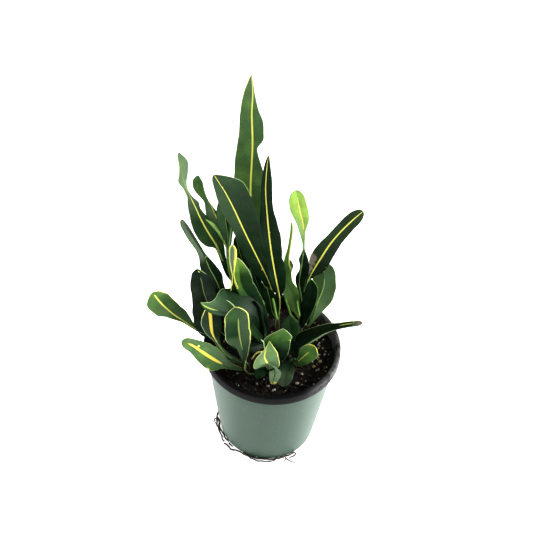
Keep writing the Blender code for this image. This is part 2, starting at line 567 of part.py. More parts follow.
def blade_row(blade, line, share):
    """Points across the blade from its left margin to its right one, with the upper side's normal."""
    centre, normal, side = leaf_frame(line, blade.faces, share)
    fold = math.radians(blade.fold)
    row = []
    for column in BLADE_COLUMNS:
        width = half_width(blade, share, column > 0)
        phase = 0.35 if column > 0 else 0
        ripple = blade.wave * math.sin(math.tau * (blade.waves * share + phase)) * min(1, width / 7)
        lift = abs(column) * width * math.sin(fold) + ripple * column**2
        row.append(centre + side * column * width * math.cos(fold) + normal * lift)
    return row, normal


def blade_shares(blade, length):
    """Where the cross sections are: even steps, the listed widths, and one close to a rounded tip."""
    count = min(MOST_STATIONS, max(FEWEST_STATIONS, round(length / STATION_STEP) + 3))
    shares = [i / (count - 1) for i in range(count)]
    for percent, width in list(blade.left) + list(blade.right):
        share = percent / 100
        if 0 < share < 1 and min(abs(share - other) for other in shares) > CLOSEST_STATIONS:
            shares.append(share)
    shares.append(1 - blade.tip / 100 * 0.3)
    return sorted(shares)


def blade_mesh(name, blade):
    """A closed blade: the same triangles above and below, with the midrib standing out below."""
    line, length = smooth_line(blade.path)
    upper, lower = [], []
    for share in blade_shares(blade, length):
        row, normal = blade_row(blade, line, share)
        rib = RIB_DEPTH * (1 - 0.75 * share)
        for column, point in zip(BLADE_COLUMNS, row):
            on_rib = column == 0
            upper.append(point + normal * (BLADE_THICKNESS / 2 + (0.3 * rib * (1 - share) if on_rib else 0)))
            lower.append(point - normal * (BLADE_THICKNESS / 2 + (rib if on_rib else 0)))
    columns = len(BLADE_COLUMNS)
    rows = len(upper) // columns
    below = len(upper)
    faces = []
    for i in range(rows - 1):
        for j in range(columns - 1):
            a, b = i * columns + j, i * columns + j + 1
            c, d = b + columns, a + columns
            halves = [(a, b, c), (a, c, d)] if j < (columns - 1) / 2 else [(a, b, d), (b, c, d)]
            for half in halves:
                faces.append(half)
                faces.append(tuple(corner + below for corner in reversed(half)))
        for a in (i * columns, i * columns + columns - 1):
            faces += [(a, a + columns, a + columns + below), (a, a + columns + below, a + below)]
    for start in (0, (rows - 1) * columns):
        for a in range(start, start + columns - 1):
            faces += [(a, a + 1, a + 1 + below), (a, a + 1 + below, a + below)]
    return mesh_from(name, upper + lower, faces)


def tube_mesh(name, points, first_radius, last_radius, sides, stations, level=(0, 0, 1)):
    """A tapered tube with closed ends along a smooth line through the points, never parallel to level."""
    line, _ = smooth_line(points)
    corners, faces = [], []
    for k in range(stations):
        share = k / (stations - 1)
        i = round(share * (len(line) - 1))
        tangent = line[min(len(line) - 1, i + 4)] - line[max(0, i - 4)]
        tangent /= np.linalg.norm(tangent)
        across = np.cross(tangent, level)
        across /= np.linalg.norm(across)
        up = np.cross(tangent, across)
        radius = first_radius + (last_radius - first_radius) * share
        for j in range(sides):
            angle = math.tau * (j + 0.5) / sides
            corners.append(line[i] + radius * (math.cos(angle) * across + math.sin(angle) * up))
    for k in range(stations - 1):
        for j in range(sides):
            a, b = k * sides + j, k * sides + (j + 1) % sides
            faces += [(a, b, b + sides), (a, b + sides, a + sides)]
    last = (stations - 1) * sides
    faces += [tuple(range(sides)), tuple(range(last, last + sides))]
    return mesh_from(name, corners, faces)


def union_of(name, meshes, finish, solver="EXACT"):
    """Join overlapping closed meshes into one body by a single union on a collection."""
    target = add_object(name, meshes[0], finish)
    others = bpy.data.collections.new(name + "_parts")
    bpy.context.scene.collection.children.link(others)
    for i, mesh in enumerate(meshes[1:]):
        others.objects.link(bpy.data.objects.new(f"{name}_part_{i}", mesh))
    apply_boolean(target, "UNION", collection=others, solver=solver)
    for part in list(others.objects):
        bpy.data.objects.remove(part, do_unlink=True)
    bpy.data.collections.remove(others)
    return target


def make_leafy_stem(name, stem):
    foot_radius, top_radius = stem["radii"]
    meshes = [tube_mesh(name, stem["path"], foot_radius, top_radius, STEM_SIDES, STEM_STATIONS,
                        level=(0, 1, 0))]
    meshes += [blade_mesh(f"{name}_leaf_{i}", blade) for i, blade in enumerate(stem["leaves"])]
    made = union_of(name, meshes, LEAF_GREEN, solver=stem.get("solver", "EXACT"))
    shade(made, 50)
    return made


def soil_height(x, y):
    """Level of the soil's surface: a low mound with small lumps."""
    radius = math.hypot(x, y) / POT_RIM_RADIUS
    mound = SOIL_MOUND * (1 - min(1, radius) ** 2)
    lumps = (math.sin(310 * x + 1.3) * math.cos(270 * y) + 0.7 * math.sin(610 * x - 480 * y)
             + 0.5 * math.cos(850 * y + 390 * x))
    return SOIL_EDGE_LEVEL + mound + SOIL_LUMP * 0.45 * lumps


def make_soil():
    """A plug that fills the pot, its top formed by soil_height, with a hole for every stem."""
    draw = random.Random(7)
    top_radius = wall_radius(SOIL_EDGE_LEVEL) - POT_WALL - TOUCH_GAP
    middle_level = SOIL_EDGE_LEVEL * 0.5
    foot_radius = wall_radius(0) - POT_WALL - FOOT_FILLET - TOUCH_GAP
    floor = FLOOR_THICKNESS + TOUCH_GAP
    rows = [
        (foot_radius - 1 * MM, floor),
        (wall_radius(FLOOR_THICKNESS) - POT_WALL - 2 * TOUCH_GAP, FLOOR_THICKNESS + 3 * MM),
        (wall_radius(middle_level) - POT_WALL - 2 * TOUCH_GAP, middle_level),
    ]
    points, faces = [(0, 0, floor)], []
    for radius, level in rows:
        for j in range(SOIL_SIDES):
            angle = math.tau * j / SOIL_SIDES
            points.append((radius * math.cos(angle), radius * math.sin(angle), level))
    for i in range(SOIL_RINGS):
        share = 1 - i / SOIL_RINGS
        for j in range(SOIL_SIDES):
            angle = math.tau * (j + (0.5 * (i % 2) if i else 0)) / SOIL_SIDES
            wobble = draw.uniform(-0.25, 0.25) * top_radius / SOIL_RINGS if i else -TOUCH_GAP
            x = (top_radius * share + wobble) * math.cos(angle)
            y = (top_radius * share + wobble) * math.sin(angle)
            points.append((x, y, soil_height(x, y)))
    points.append((0, 0, soil_height(0, 0)))
    ring_count = len(rows) + SOIL_RINGS
    for j in range(SOIL_SIDES):
        k = (j + 1) % SOIL_SIDES
        faces.append((0, 1 + k, 1 + j))
        for i in range(ring_count - 1):
            a, b = 1 + i * SOIL_SIDES + j, 1 + i * SOIL_SIDES + k
            c, d = b + SOIL_SIDES, a + SOIL_SIDES
            faces += [(a, b, d), (b, c, d)]
        last = 1 + (ring_count - 1) * SOIL_SIDES
        faces.append((last + j, last + k, len(points) - 1))
    soil = add_object("soil", mesh_from("soil", points, faces, scale=1), SOIL_BROWN)
    holes = bpy.data.collections.new("stem_holes")
    bpy.context.scene.collection.children.link(holes)
    for name, stem in STEMS.items():
        foot = stem["path"][0]
        radius = stem["radii"][0] + STEM_HOLE_CLEARANCE
        path = [(foot[0], foot[1], foot[2] - STEM_HOLE_DEPTH_BELOW), *stem["path"]]
        hole = tube_mesh(name + "_hole", path, radius, radius, STEM_SIDES, STEM_STATIONS, level=(0, 1, 0))
        holes.objects.link(bpy.data.objects.new(name + "_hole", hole))
    apply_boolean(soil, "DIFFERENCE", collection=holes)
    for hole in list(holes.objects):
        bpy.data.objects.remove(hole, do_unlink=True)
    bpy.data.collections.remove(holes)
    shade(soil, 60)
    return soil


def make_roots():
    meshes = []
    for i, strand in enumerate(ROOT_STRANDS):
        line, length = smooth_line(strand)
        stations = max(6, round(length / 8))
        first = ROOT_RADIUS if i == 0 else ROOT_RADIUS * 0.8
        meshes.append(tube_mesh(f"root_{i}", strand, first, ROOT_RADIUS * (1 - ROOT_TAPER), ROOT_SIDES, stations))
    made = union_of("escaped_roots", meshes, ROOT_BROWN)
    shade(made, 60)
    return made


make_pot()
make_soil()
for stem_name, stem_data in STEMS.items():
    make_leafy_stem(stem_name, stem_data)
make_roots()
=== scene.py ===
"""Dresses the potted croton: its leafy stems, pot, soil and roots, and the stage round them."""
import math
import random
from collections import namedtuple

import bpy
import numpy as np
from bpy.props import FloatProperty, FloatVectorProperty, IntProperty, PointerProperty
from mathutils import Matrix, Vector


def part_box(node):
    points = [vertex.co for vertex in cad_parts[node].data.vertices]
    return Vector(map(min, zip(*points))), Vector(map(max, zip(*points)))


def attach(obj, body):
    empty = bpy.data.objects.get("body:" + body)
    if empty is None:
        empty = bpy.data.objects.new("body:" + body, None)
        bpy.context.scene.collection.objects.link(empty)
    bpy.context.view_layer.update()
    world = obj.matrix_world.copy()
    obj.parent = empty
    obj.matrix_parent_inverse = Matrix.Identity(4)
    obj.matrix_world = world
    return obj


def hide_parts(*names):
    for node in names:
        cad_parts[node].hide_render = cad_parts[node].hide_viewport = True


bl_info = {
    "name": "Potted Croton",
    "version": (1, 0, 0),
    "blender": (4, 5, 0),
    "location": "3D View > Sidebar > Croton",
    "description": "Models the leaves, stems, pot, soil and roots of a potted croton and the stage round it",
    "category": "Add Mesh",
}

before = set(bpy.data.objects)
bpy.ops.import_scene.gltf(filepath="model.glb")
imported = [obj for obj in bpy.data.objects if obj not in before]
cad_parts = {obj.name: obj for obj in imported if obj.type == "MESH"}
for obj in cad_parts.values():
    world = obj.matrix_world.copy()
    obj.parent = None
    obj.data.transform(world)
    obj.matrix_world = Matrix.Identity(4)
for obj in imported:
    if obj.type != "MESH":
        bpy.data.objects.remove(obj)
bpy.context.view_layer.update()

MM = 0.001

# The pot's outline, as the frame has it
POT_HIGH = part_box("pot")[1]
POT_RIM_RADIUS = POT_HIGH.x
POT_HEIGHT = POT_HIGH.z
POT_FOOT_RADIUS = 56 * MM
POT_WALL = 1.6 * MM
LIP_HEIGHT = 11 * MM
LIP_WALL = 1.5 * MM
LIP_OVERHANG = 4 * MM
LIP_ROLL = 1.7 * MM
CORNER = 3 * MM  # radius where the wall meets the floor
POLE = 0.5 * MM  # radius of the smallest ring, which is filled
FLOOR_THICKNESS = 2.4 * MM
FOOT_GROOVE = 1.2 * MM
DRAIN_HOLES = 8
DRAIN_HOLE_RADIUS = 4.6 * MM
DRAIN_HOLE_FROM_CENTRE = 47.5 * MM

# The soil's surface
SOIL_EDGE_LEVEL = 127 * MM
SOIL_MOUND = 3 * MM
SOIL_LUMP = 0.495 * MM
SOIL_RINGS = 56
SOIL_SIDES = 144
SOIL_CLODS = ((7 * MM, 2.2 * MM), (2.4 * MM, 1.2 * MM))  # sizes and heights, coarse and fine
SMALLEST_CRUMB = 1.1 * MM
LARGEST_CRUMB = 6.5 * MM

# A curve's points in all and between two given ones, and how many of them a tangent spans each way
LINE_POINTS = 361
SPAN_POINTS = 60
TANGENT_REACH = 5
SEAM = 0.002 * MM  # points nearer than this are merged

# A blade's mesh, in millimetres. HALF_COLUMNS are shares of the way from the midrib's edge to the
# margin.
HALF_COLUMNS = (0.0, 0.24, 0.48, 0.7, 0.88, 1.0)
FEWEST_STATIONS = 10
TIP_STATIONS = 8
NARROWEST_HALF_WIDTH = 0.3
STALK_HALF_WIDTH = 1.4
MIDRIB_EDGE = 0.9  # from the midrib's middle
UNEVEN_WIDTH = 0.025  # share of the width by which the margin goes in and out
MARGIN_RIPPLE = 0.45
FULL_RIPPLE_WIDTH = 7  # half width from which the ripples have their full height
CROWN = 0.11  # how far each half bulges, as a share of its width
NO_BAND = 0.04  # midribs and rims narrower than this have no colour of their own
FAR = 9.0  # the distance that stands for no band near

# The rod under a leaf's midrib, and the stem's leaf scars, in millimetres or shares of the length
RIB_STEP = 5
RIB_END = 0.985
RIB_TAPER = 0.78
THINNEST_RIB = 0.22
SCAR_STEP = 11
SCAR_LENGTH = 1.2
SCAR_SWELL = 0.1

FOOT = 104  # level of the stems' feet, down in the soil

# Colours that no setting holds
DULL_RIB = (0.05, 0.06, 0.02)
GREEN_RIB = (0.22, 0.34, 0.1)
STALK_GREEN = (0.24, 0.42, 0.06)
DRY_BROWN = (0.2, 0.18, 0.15)
POT_SPECK = (0.3, 0.4, 0.33)
# Painted sheen: the pale grey-green that the pot's left and right sides are washed with.
POT_SIDE_SHEEN = (0.5, 0.56, 0.52)
GRAIN_TAN = (0.42, 0.4, 0.26)
GRAIN_GREY = (0.22, 0.22, 0.2)
GRAIN_RUST = (0.45, 0.3, 0.16)
GRAIN_PORE = (0.2, 0.16, 0.12)
STRAW = (0.3, 0.23, 0.11)
OLD_STRAW = (0.06, 0.04, 0.02)
STRAW_PATCH = (0.12, 0.08, 0.04)
ROOT_SPECK = (0.25, 0.2, 0.15)
PAPER = (0.8, 0.8, 0.8)
WHITE = (1, 1, 1, 1)

# The photograph's view: angles in degrees, lengths in metres
VIEW_ELEVATION = 44.7
VIEW_ROLL = 3.57
VIEW_DISTANCE = 0.8776
VIEW_AIM = (-0.0117, 0.0, 0.2616)
SENSOR = 36

# The soft boxes look at PLANT_MIDDLE: azimuth, elevation, distance, size, and share of the set power
PLANT_MIDDLE = (-0.01, 0, 0.22)
SOFT_BOXES = {
    "soft_box_right": (4, 13, 1.3, 0.8, 7),
    "soft_box_left": (176, 13, 1.3, 0.8, 2.7),
    "soft_box_top": (90, 75, 1.4, 1.0, 0.35),
}

Stem = namedtuple("Stem", "path radii leaves")
Leaf = namedtuple("Leaf", "name path faces left right tip fold wave waves "
                  "youth pale gold rib rim rim_tone spots dry")
STEMS = {}


def leafy_stem(name, path, radii, leaves):
    """One leafy stem, in millimetres: its path, the radii at its foot and top, and the leaves on it."""
    STEMS[name] = Stem(path, radii, leaves)


def leaf(name, path, faces, left, right=None, tip=12, fold=8, wave=0.5, waves=4.0, youth=0.3,
         pale=0.0, gold=0.5, rib=0.7, rim=0.0, rim_tone=1.0, spots=(), dry=()):
    """One leaf, in millimetres and degrees.

    path: points along the midrib, from inside the stem to the tip.
    faces: azimuth and elevation that the upper side faces, evenly spaced along the leaf.
    left, right: half widths at percents of the length, seen from the upper side with the tip up. Both
    start as wide as a stalk if they don't say otherwise, and right is like left if it isn't given.
    tip: percent of the length over which the end is rounded off.
    fold: how far each half is folded up along the midrib, in degrees.
    wave, waves: height and number of the ripples along the margins.
    youth: 0 for an old, nearly black blade to 1 for a young lime one; where a stretch of a blade is set dark
    for lying in shadow, it is painted shade.
    pale: how far the green is washed out, from 0 to 1, by a paler tone of the blade and by painted sheen
    where a half catches the light.
    gold: the midrib's tone, 0 pale green, 0.5 yellow, 1 golden; rib is half the width of its colour.
    rim: width of the light margin, and rim_tone its tone, -0.5 green, 0 pale, 1 yellow, 1.5 golden.
    spots, dry: yellow spots and dry patches, as percent, millimetres across from the midrib, and radius.
    A look that changes along the blade is {percent: value, ...}, level before its first percent and
    after its last. One that differs from side to side is a pair of looks, the left one first.
    """
    left = {0: STALK_HALF_WIDTH, **left}
    right = {0: STALK_HALF_WIDTH, **right} if right else left
    return Leaf(name, path, faces, left, right, tip, fold, wave, waves, youth, pale, gold, rib, rim,
                rim_tone, spots, dry)


# The plant's leafy stems and the leaves on them
leafy_stem("stem_centre", [(6, 34, FOOT), (5, 34, 130), (4, 33, 158)], (3.2, 2.4), [
    leaf("tall", [(4, 33, 150), (-10, 40, 190), (-26, 43, 249), (-32, 44, 321), (-32, 47, 376),
         (-34, 50, 410), (-34, 53, 432), (-36, 56, 448)], [(-80, 10), (-98, 14), (-95, 14)],
         {0: 1.5, 15: 2, 30: 10, 45: 15, 65: 17, 75: 15.3, 85: 11.5, 90: 10.5, 95: 9.5, 98: 7, 100: 5},
         {0: 1.5, 15: 2, 30: 9, 50: 11, 60: 14, 65: 13.5, 70: 8.6, 75: 4.5, 79: 11, 84: 11, 90: 5,
         95: 1.5, 100: 1}, tip=10, fold=5, wave=0.7, waves=6, youth=({0: 0.5, 30: 0.64, 60: 0.66,
         85: 0.66, 100: 0.6}, {0: 0.5, 40: 0.58, 70: 0.6, 85: 0.6, 100: 0.56}),
         pale=({0: 0.02, 60: 0.06, 90: 0.12, 100: 0.3}, {0: 0.02, 60: 0.06, 90: 0.14, 95: 0.6, 100: 1}),
         rib={0: 0.9, 30: 0.85, 50: 0.74, 85: 0.74, 100: 0.45}, rim=({85: 0, 92: 0.6, 100: 0.9}, 0),
         rim_tone=0.5, spots=[(62, -14, 1.2), (66, -13, 0.9), (91, -9, 0.8)]),
    leaf("narrow", [(5, 33, 150), (5, 30, 182), (2, 26, 204), (-4, 23, 238), (-10, 20, 279),
         (-14, 17, 315), (-17, 15, 349), (-17, 13, 374), (-16, 11, 393)],
         [(-75, 10), (-85, 12), (-100, 15)],
         {0: 1.5, 13: 2, 25: 6, 40: 8, 55: 10, 65: 8, 75: 5.7, 85: 4.2, 95: 3.4, 100: 2.5},
         {0: 1.5, 13: 2, 25: 9, 35: 12.5, 45: 9.8, 55: 11.5, 65: 9, 75: 6.5, 86: 6.3, 95: 4, 100: 2.5},
         tip=14, fold=10, wave=1, youth=0.13, gold=0.56, rib={0: 0.72, 60: 0.68, 80: 0.56, 100: 0.28},
         spots=[(58, 0.6, 1), (76, -0.6, 1)]),
    leaf("broad", [(3, 32, 150), (0, 30, 176), (-8, 25, 214), (-22, 20, 255), (-35, 14, 293),
         (-46, 7, 329), (-55, 1, 356), (-60, -3, 369), (-64, -7, 381)],
         [(-90, 20), (-98, 22), (-105, 30)],
         {0: 1.5, 17: 2, 28: 7, 40: 12.5, 50: 12.5, 62: 10.5, 75: 12.3, 82: 11.5, 90: 8.3, 95: 6, 100: 3},
         {0: 1.5, 17: 2, 28: 6, 38: 7, 45: 8.6, 55: 13.5, 65: 18, 78: 21, 84: 22, 90: 22.5, 95: 21,
         98: 18, 100: 14}, tip=4, fold=4, wave=0.6, waves=5,
         youth=({0: 0.14, 45: 0.15, 65: 0.29, 100: 0.32}, {60: 0.14, 85: 0.18, 100: 0.35}),
         pale=({0: 0, 50: 0.02, 75: 0.1}, {0: 0, 60: 0.02, 100: 0.06}),
         rib={0: 0.4, 30: 0.48, 45: 0.64, 60: 0.64, 85: 0.48, 100: 0.24},
         rim=(0, {80: 0, 90: 0.25, 100: 0.5}), rim_tone={93: -0.4, 98: 0.2, 100: 0.4},
         spots=[(37, 3, 1), (44, -2.5, 1.2), (36, -1, 1.3), (74, 12, 0.6)]),
    leaf("short", [(4, 33, 150), (-1, 27, 162), (-5, 21, 188), (-10, 17, 214)], [(-95, 25)],
         {15: 4, 45: 7, 75: 7, 100: 4}, tip=14, youth=0.14, gold=0, rib=0.4),
    leaf("behind", [(3, 34, 150), (-6, 34, 164), (-26, 34, 198), (-37, 35, 231), (-45, 36, 267)],
         [(-85, 25), (-95, 20)], {20: 5, 45: 9, 70: 8, 90: 5, 100: 4},
         {20: 6, 45: 12, 70: 10, 90: 5, 100: 4}, tip=10, youth=0.1, gold=0, rib=0.3),
    leaf("stalk_a", [(4, 31, 149), (4, 20, 162), (3, 14, 169), (0, 14, 185), (-3, 14, 201)], [(-90, 45)],
         {0: 1.6, 100: 1.5}, tip=6, fold=-30, youth=0.82, pale=0.1, gold=0, rib=0),
])
leafy_stem("stem_left", [(-24, 22, FOOT), (-28, 22, 150), (-47, 25, 212), (-53, 27, 262)], (3, 1.8), [
    leaf("twisted", [(-47, 25, 212), (-58, 27, 240), (-65, 25, 264), (-72, 23, 281), (-79, 21, 300),
         (-84, 20, 316), (-89, 18, 332), (-92, 17, 341), (-95, 16, 354), (-97, 15, 372), (-99, 14, 387)],
         [(-60, 30), (-75, 25), (-110, 10), (-100, 20)], {0: 1.5, 3: 2.6, 6: 3.6, 10: 3.4, 15: 2.6, 20: 2,
         26: 2, 29: 3, 31: 7, 35: 10.5, 40: 12.5, 47: 12, 55: 9.8, 65: 6.5, 70: 3.4, 75: 3.2, 80: 6.2,
         85: 3.8, 92: 2}, {0: 1.3, 6: 2, 12: 3.5, 20: 5.3, 30: 8, 40: 9, 46: 8, 53: 7.2, 60: 4.3, 65: 6.5,
         70: 1.8, 75: 0.8, 80: 2.4, 85: 4.8, 90: 6.8, 95: 8.2, 100: 6}, tip=6, fold=4,
         youth={0: 0.38, 66: 0.36, 74: 0.66, 100: 0.62}, pale=({0: 0, 50: 0.01, 60: 0.12, 72: 0.3,
         78: 0.48, 100: 0.36}, {0: 0, 60: 0.03, 72: 0.3, 78: 0.48, 100: 0.3}),
         gold={0: 0.05, 22: 0.1, 34: 0.3, 60: 0.45, 100: 0.3},
         rib={14: 0, 20: 1.2, 28: 1.1, 34: 0.8, 66: 0.55, 72: 0.25, 100: 0},
         rim=({80: 0, 85: 0.9, 100: 0.6}, 0), rim_tone=0.2),
    leaf("paddle", [(-52, 27, 255), (-58, 28, 283), (-66, 29, 301), (-71, 30, 314), (-75, 31, 319),
         (-80, 32, 327), (-83, 33, 337), (-83, 34, 346)], [(-70, 20), (-90, 15), (-95, 20)],
         {0: 1.2, 15: 3, 30: 7, 45: 9, 60: 7.2, 66: 5, 70: 3.2, 80: 4.6, 87: 6, 94: 5.5, 100: 3},
         {0: 1.2, 15: 3, 30: 3, 50: 3.4, 58: 1.5, 65: 0.5, 75: 2.5, 85: 4.5, 93: 4.8, 100: 3}, tip=10,
         youth={40: 0.3, 60: 0.4, 70: 0.62, 100: 0.66},
         pale=({0: 0, 30: 0.15, 58: 0.3, 70: 0.05, 100: 0.08}, 0.03),
         rib={0: 0.8, 55: 0.6, 66: 0.25, 72: 0}),
    leaf("young_tall", [(-52, 27, 256), (-54, 25, 288), (-55, 24, 295), (-57, 24, 311), (-62, 24, 323)],
         [(-80, 15)], {0: 1.2, 20: 4, 40: 7, 65: 8.8, 80: 8.6, 90: 6.6, 100: 4},
         {0: 1.2, 20: 4, 45: 5, 60: 5.9, 80: 5, 100: 3.5}, tip=15, fold=12, youth=(0.36, 0.2),
         pale=(0.04, 0), gold=0, rib=0.4),
    leaf("young_lime", [(-53, 27, 257), (-62, 22, 284), (-68, 18, 297), (-74, 14, 307)], [(-60, 60)],
         {0: 1, 30: 2.2, 70: 2.6, 100: 1.2}, tip=20, fold=20, youth=0.8, pale=0.2, gold=0.3, rib=0.3),
    leaf("young_slim", [(-51, 27, 254), (-50, 22, 280), (-49, 20, 295), (-50, 20, 309)], [(-120, 10)],
         {0: 1, 40: 2.5, 75: 2.5, 100: 1.2}, tip=20, fold=10, youth=0.5, gold=0, rib=0.35),
])
leafy_stem("stem_outer_left", [(-38, 4, FOOT), (-40, 4, 130), (-43, 5, 148)], (3, 2.2), [
    leaf("strap", [(-43, 5, 144), (-48, 8, 172), (-63, 9, 227), (-70, 7, 247), (-75, 3, 269),
         (-82, -1, 288), (-89, -6, 309), (-94, -10, 327)], [(-60, 20), (-60, 30), (-70, 35), (-110, 40)],
         {12: 2, 25: 6, 40: 9, 48: 11, 55: 10, 62: 8.5, 69: 5.5, 76: 4, 85: 4.5},
         {12: 2, 25: 5, 41: 6.5, 48: 8.5, 55: 7.5, 62: 4.5, 69: 2, 76: 2.5, 90: 3, 100: 2.5}, tip=6,
         youth={60: 0.06, 70: 0.1},
         pale=({0: 0, 60: 0.01, 70: 0.2, 90: 0.24, 100: 0.34}, {60: 0, 72: 0.03, 92: 0.06, 100: 0.25}),
         gold=0, rib={60: 0.45, 66: 0}, spots=[(66, 0.6, 1.6)]),
    leaf("dark_broad", [(-42, 5, 141), (-55, 3, 151), (-71, 0, 202), (-75, -3, 223), (-77, -5, 241),
         (-81, -7, 259)], [(-90, 20), (-100, 15)],
         {10: 6, 20: 21, 27: 23, 41: 21, 55: 17, 62: 14.5, 76: 13, 84: 12, 90: 9.5, 95: 8, 100: 5},
         {10: 3, 27: 6.5, 41: 11, 55: 13, 72: 14, 85: 13, 92: 10, 100: 7}, tip=8, youth=0.07, gold=0,
         rib={0: 0.4, 88: 0.45, 92: 0}, rim=(0, {94: 0, 98: 0.7}), rim_tone=0.1,
         spots=[(97, 1, 1.5), (84, -9.6, 0.9)]),
    leaf("outermost", [(-42, 5, 142), (-67, 1, 150), (-83, -2, 161), (-96, -4, 175), (-106, -8, 189),
         (-115, -11, 204), (-121, -15, 219), (-125, -19, 234)], [(-80, 60), (-85, 55), (-90, 50)],
         {30: 1.6, 48: 1.8, 55: 3, 62: 5, 69: 8, 75: 12, 80: 12.8, 86: 13.6, 90: 13, 95: 8, 100: 1.5},
         {30: 2, 41: 4.5, 48: 8, 55: 11, 62: 11.5, 72: 12, 83: 12, 91: 10.6, 96: 8.6, 100: 6.5}, tip=2,
         fold=5, youth=({0: 0.52, 60: 0.62, 100: 0.73}, {0: 0.47, 60: 0.52, 100: 0.75}),
         pale=({0: 0, 55: 0.05, 70: 0.28, 85: 0.1, 100: 0.05}, {0: 0.2, 60: 0.15, 80: 0.02, 100: 0}),
         rib={60: 0.7, 95: 0.75, 98: 0}, rim=(0.25, {0: 0.3, 100: 0.5}), rim_tone=(0.3, 0.8)),
])
leafy_stem("stem_middle", [(-8, 4, FOOT), (-8, 4, 130), (-8, 5, 146)], (3, 2.2), [
    leaf("arching", [(-8, 4, 144), (-12, 2, 165), (-22, -5, 194), (-36, -12, 206), (-49, -19, 212),
         (-60, -25, 219), (-69, -29, 227), (-75, -32, 237)],
         [(-20, 40), (-60, 45), (-100, 60), (-110, 50)],
         {12: 3, 30: 9, 50: 9, 70: 5.5, 85: 4.5, 90: 3.5, 95: 2, 100: 1},
         {12: 3, 25: 12, 40: 21, 55: 26, 67: 26, 75: 22, 82: 12.5, 89: 6.5, 95: 4, 100: 1}, tip=5,
         fold=-6, youth=({0: 0.02, 40: 0.04, 60: 0.12, 80: 0.3, 100: 0.64}, {0: 0.02, 35: 0.04, 55: 0.18,
         75: 0.32, 100: 0.64}), pale=(0, {0: 0, 70: 0.02, 100: 0.06}), gold=0.1,
         rib={76: 0, 82: 0.4, 88: 0.75, 92: 0.75, 97: 0.5, 100: 0.3},
         rim=(0, {0: 0.2, 60: 0.4, 78: 0.7, 100: 0.6}), rim_tone=-0.2),
    leaf("tongue", [(-8, 5, 144), (-12, 6, 174), (-25, 6, 203), (-36, 6, 226), (-39, 4, 249),
         (-42, 2, 270)], [(-80, 30), (-85, 30), (-95, 30)],
         {15: 3, 40: 7, 69: 7, 83: 6.5, 90: 4.5, 95: 3.5, 100: 2},
         {12: 3, 40: 10, 62: 12.5, 76: 12.5, 83: 10.5, 90: 7.5, 95: 6, 100: 2}, tip=8, fold=6,
         youth=({0: 0.23, 50: 0.52, 60: 0.63, 85: 0.83, 100: 0.85}, {0: 0.18, 60: 0.34, 75: 0.46,
         82: 0.63, 92: 0.83, 100: 0.85}), gold=0.1, rib=0, rim=(0, {0: 0, 55: 0.08, 75: 0.28, 100: 0.4}),
         rim_tone={0: -0.4, 70: -0.3, 85: 0.1, 100: 0.3}),
    leaf("yellow_tipped", [(-8, 4, 143), (-22, 12, 164), (-38, 14, 182), (-42, 13, 200), (-44, 5, 221),
         (-44, -4, 238), (-45, -8, 259), (-46, -8, 273), (-46, -9, 286), (-46, -10, 298)],
         [(-80, 30), (-85, 30), (-95, 30)],
         {20: 3, 50: 4, 56: 4, 62: 3.4, 68: 2, 74: 1, 80: 2, 86: 3, 100: 3.4},
         {20: 3, 50: 4.5, 56: 4.5, 62: 3.6, 70: 1.8, 75: 1, 80: 2.4, 86: 4, 92: 4.8, 100: 4.6}, tip=5,
         fold=10, youth={0: 0.2, 76: 0.3, 100: 0.15}, pale={72: 0, 80: 0.35, 100: 0.42}, rib=0,
         rim=({0: 0, 45: 0.5, 54: 1.5, 70: 1.5, 76: 1, 84: 1.3}, {0: 0, 45: 0.8, 54: 2, 70: 1.8, 80: 1.2,
         86: 2.4, 94: 2.4, 100: 1.4}),
         rim_tone=({0: 0.8, 70: 0.9, 76: 0.9, 84: 0.4, 96: 0.5, 100: 1}, 1.2)),
    leaf("heart_slim", [(-7, 6, 143), (-8, 8, 152), (-15, 11, 185), (-21, 13, 209), (-29, 15, 242)],
         [(-95, 20)], {10: 3, 30: 6, 70: 5, 90: 3, 100: 1.5}, tip=10, fold=14, youth=0.12, gold=0,
         rib=0.4),
    leaf("heart_dark", [(-8, 4, 139), (-13, 0, 150), (-19, 0, 174), (-23, 3, 208)], [(-95, 25)],
         {15: 4, 45: 8, 75: 8, 100: 4}, fold=10, youth=0.05, gold=0, rib=0, rim=(0.5, 0), rim_tone=0),
    leaf("heart_low", [(-8, 4, 137), (-20, -6, 143), (-34, -13, 155), (-47, -18, 172)], [(-95, 45)],
         {25: 6, 60: 9, 85: 8, 100: 4}, tip=14, youth=0.08, gold=0, rib=0),
    leaf("curled", [(-8, 4, 138), (-16, -5, 160), (-30, -14, 192), (-40, -20, 204), (-42, -22, 216),
         (-45, -23, 225), (-48, -24, 231), (-51, -24, 234)], [(-85, 45), (-95, 50)],
         {20: 4, 60: 5, 85: 4, 100: 1}, {20: 4, 60: 4, 85: 3, 100: 1}, tip=5, youth=0.34, rib=0,
         rim=(0, {66: 0, 72: 0.9}), rim_tone=0.15),
])
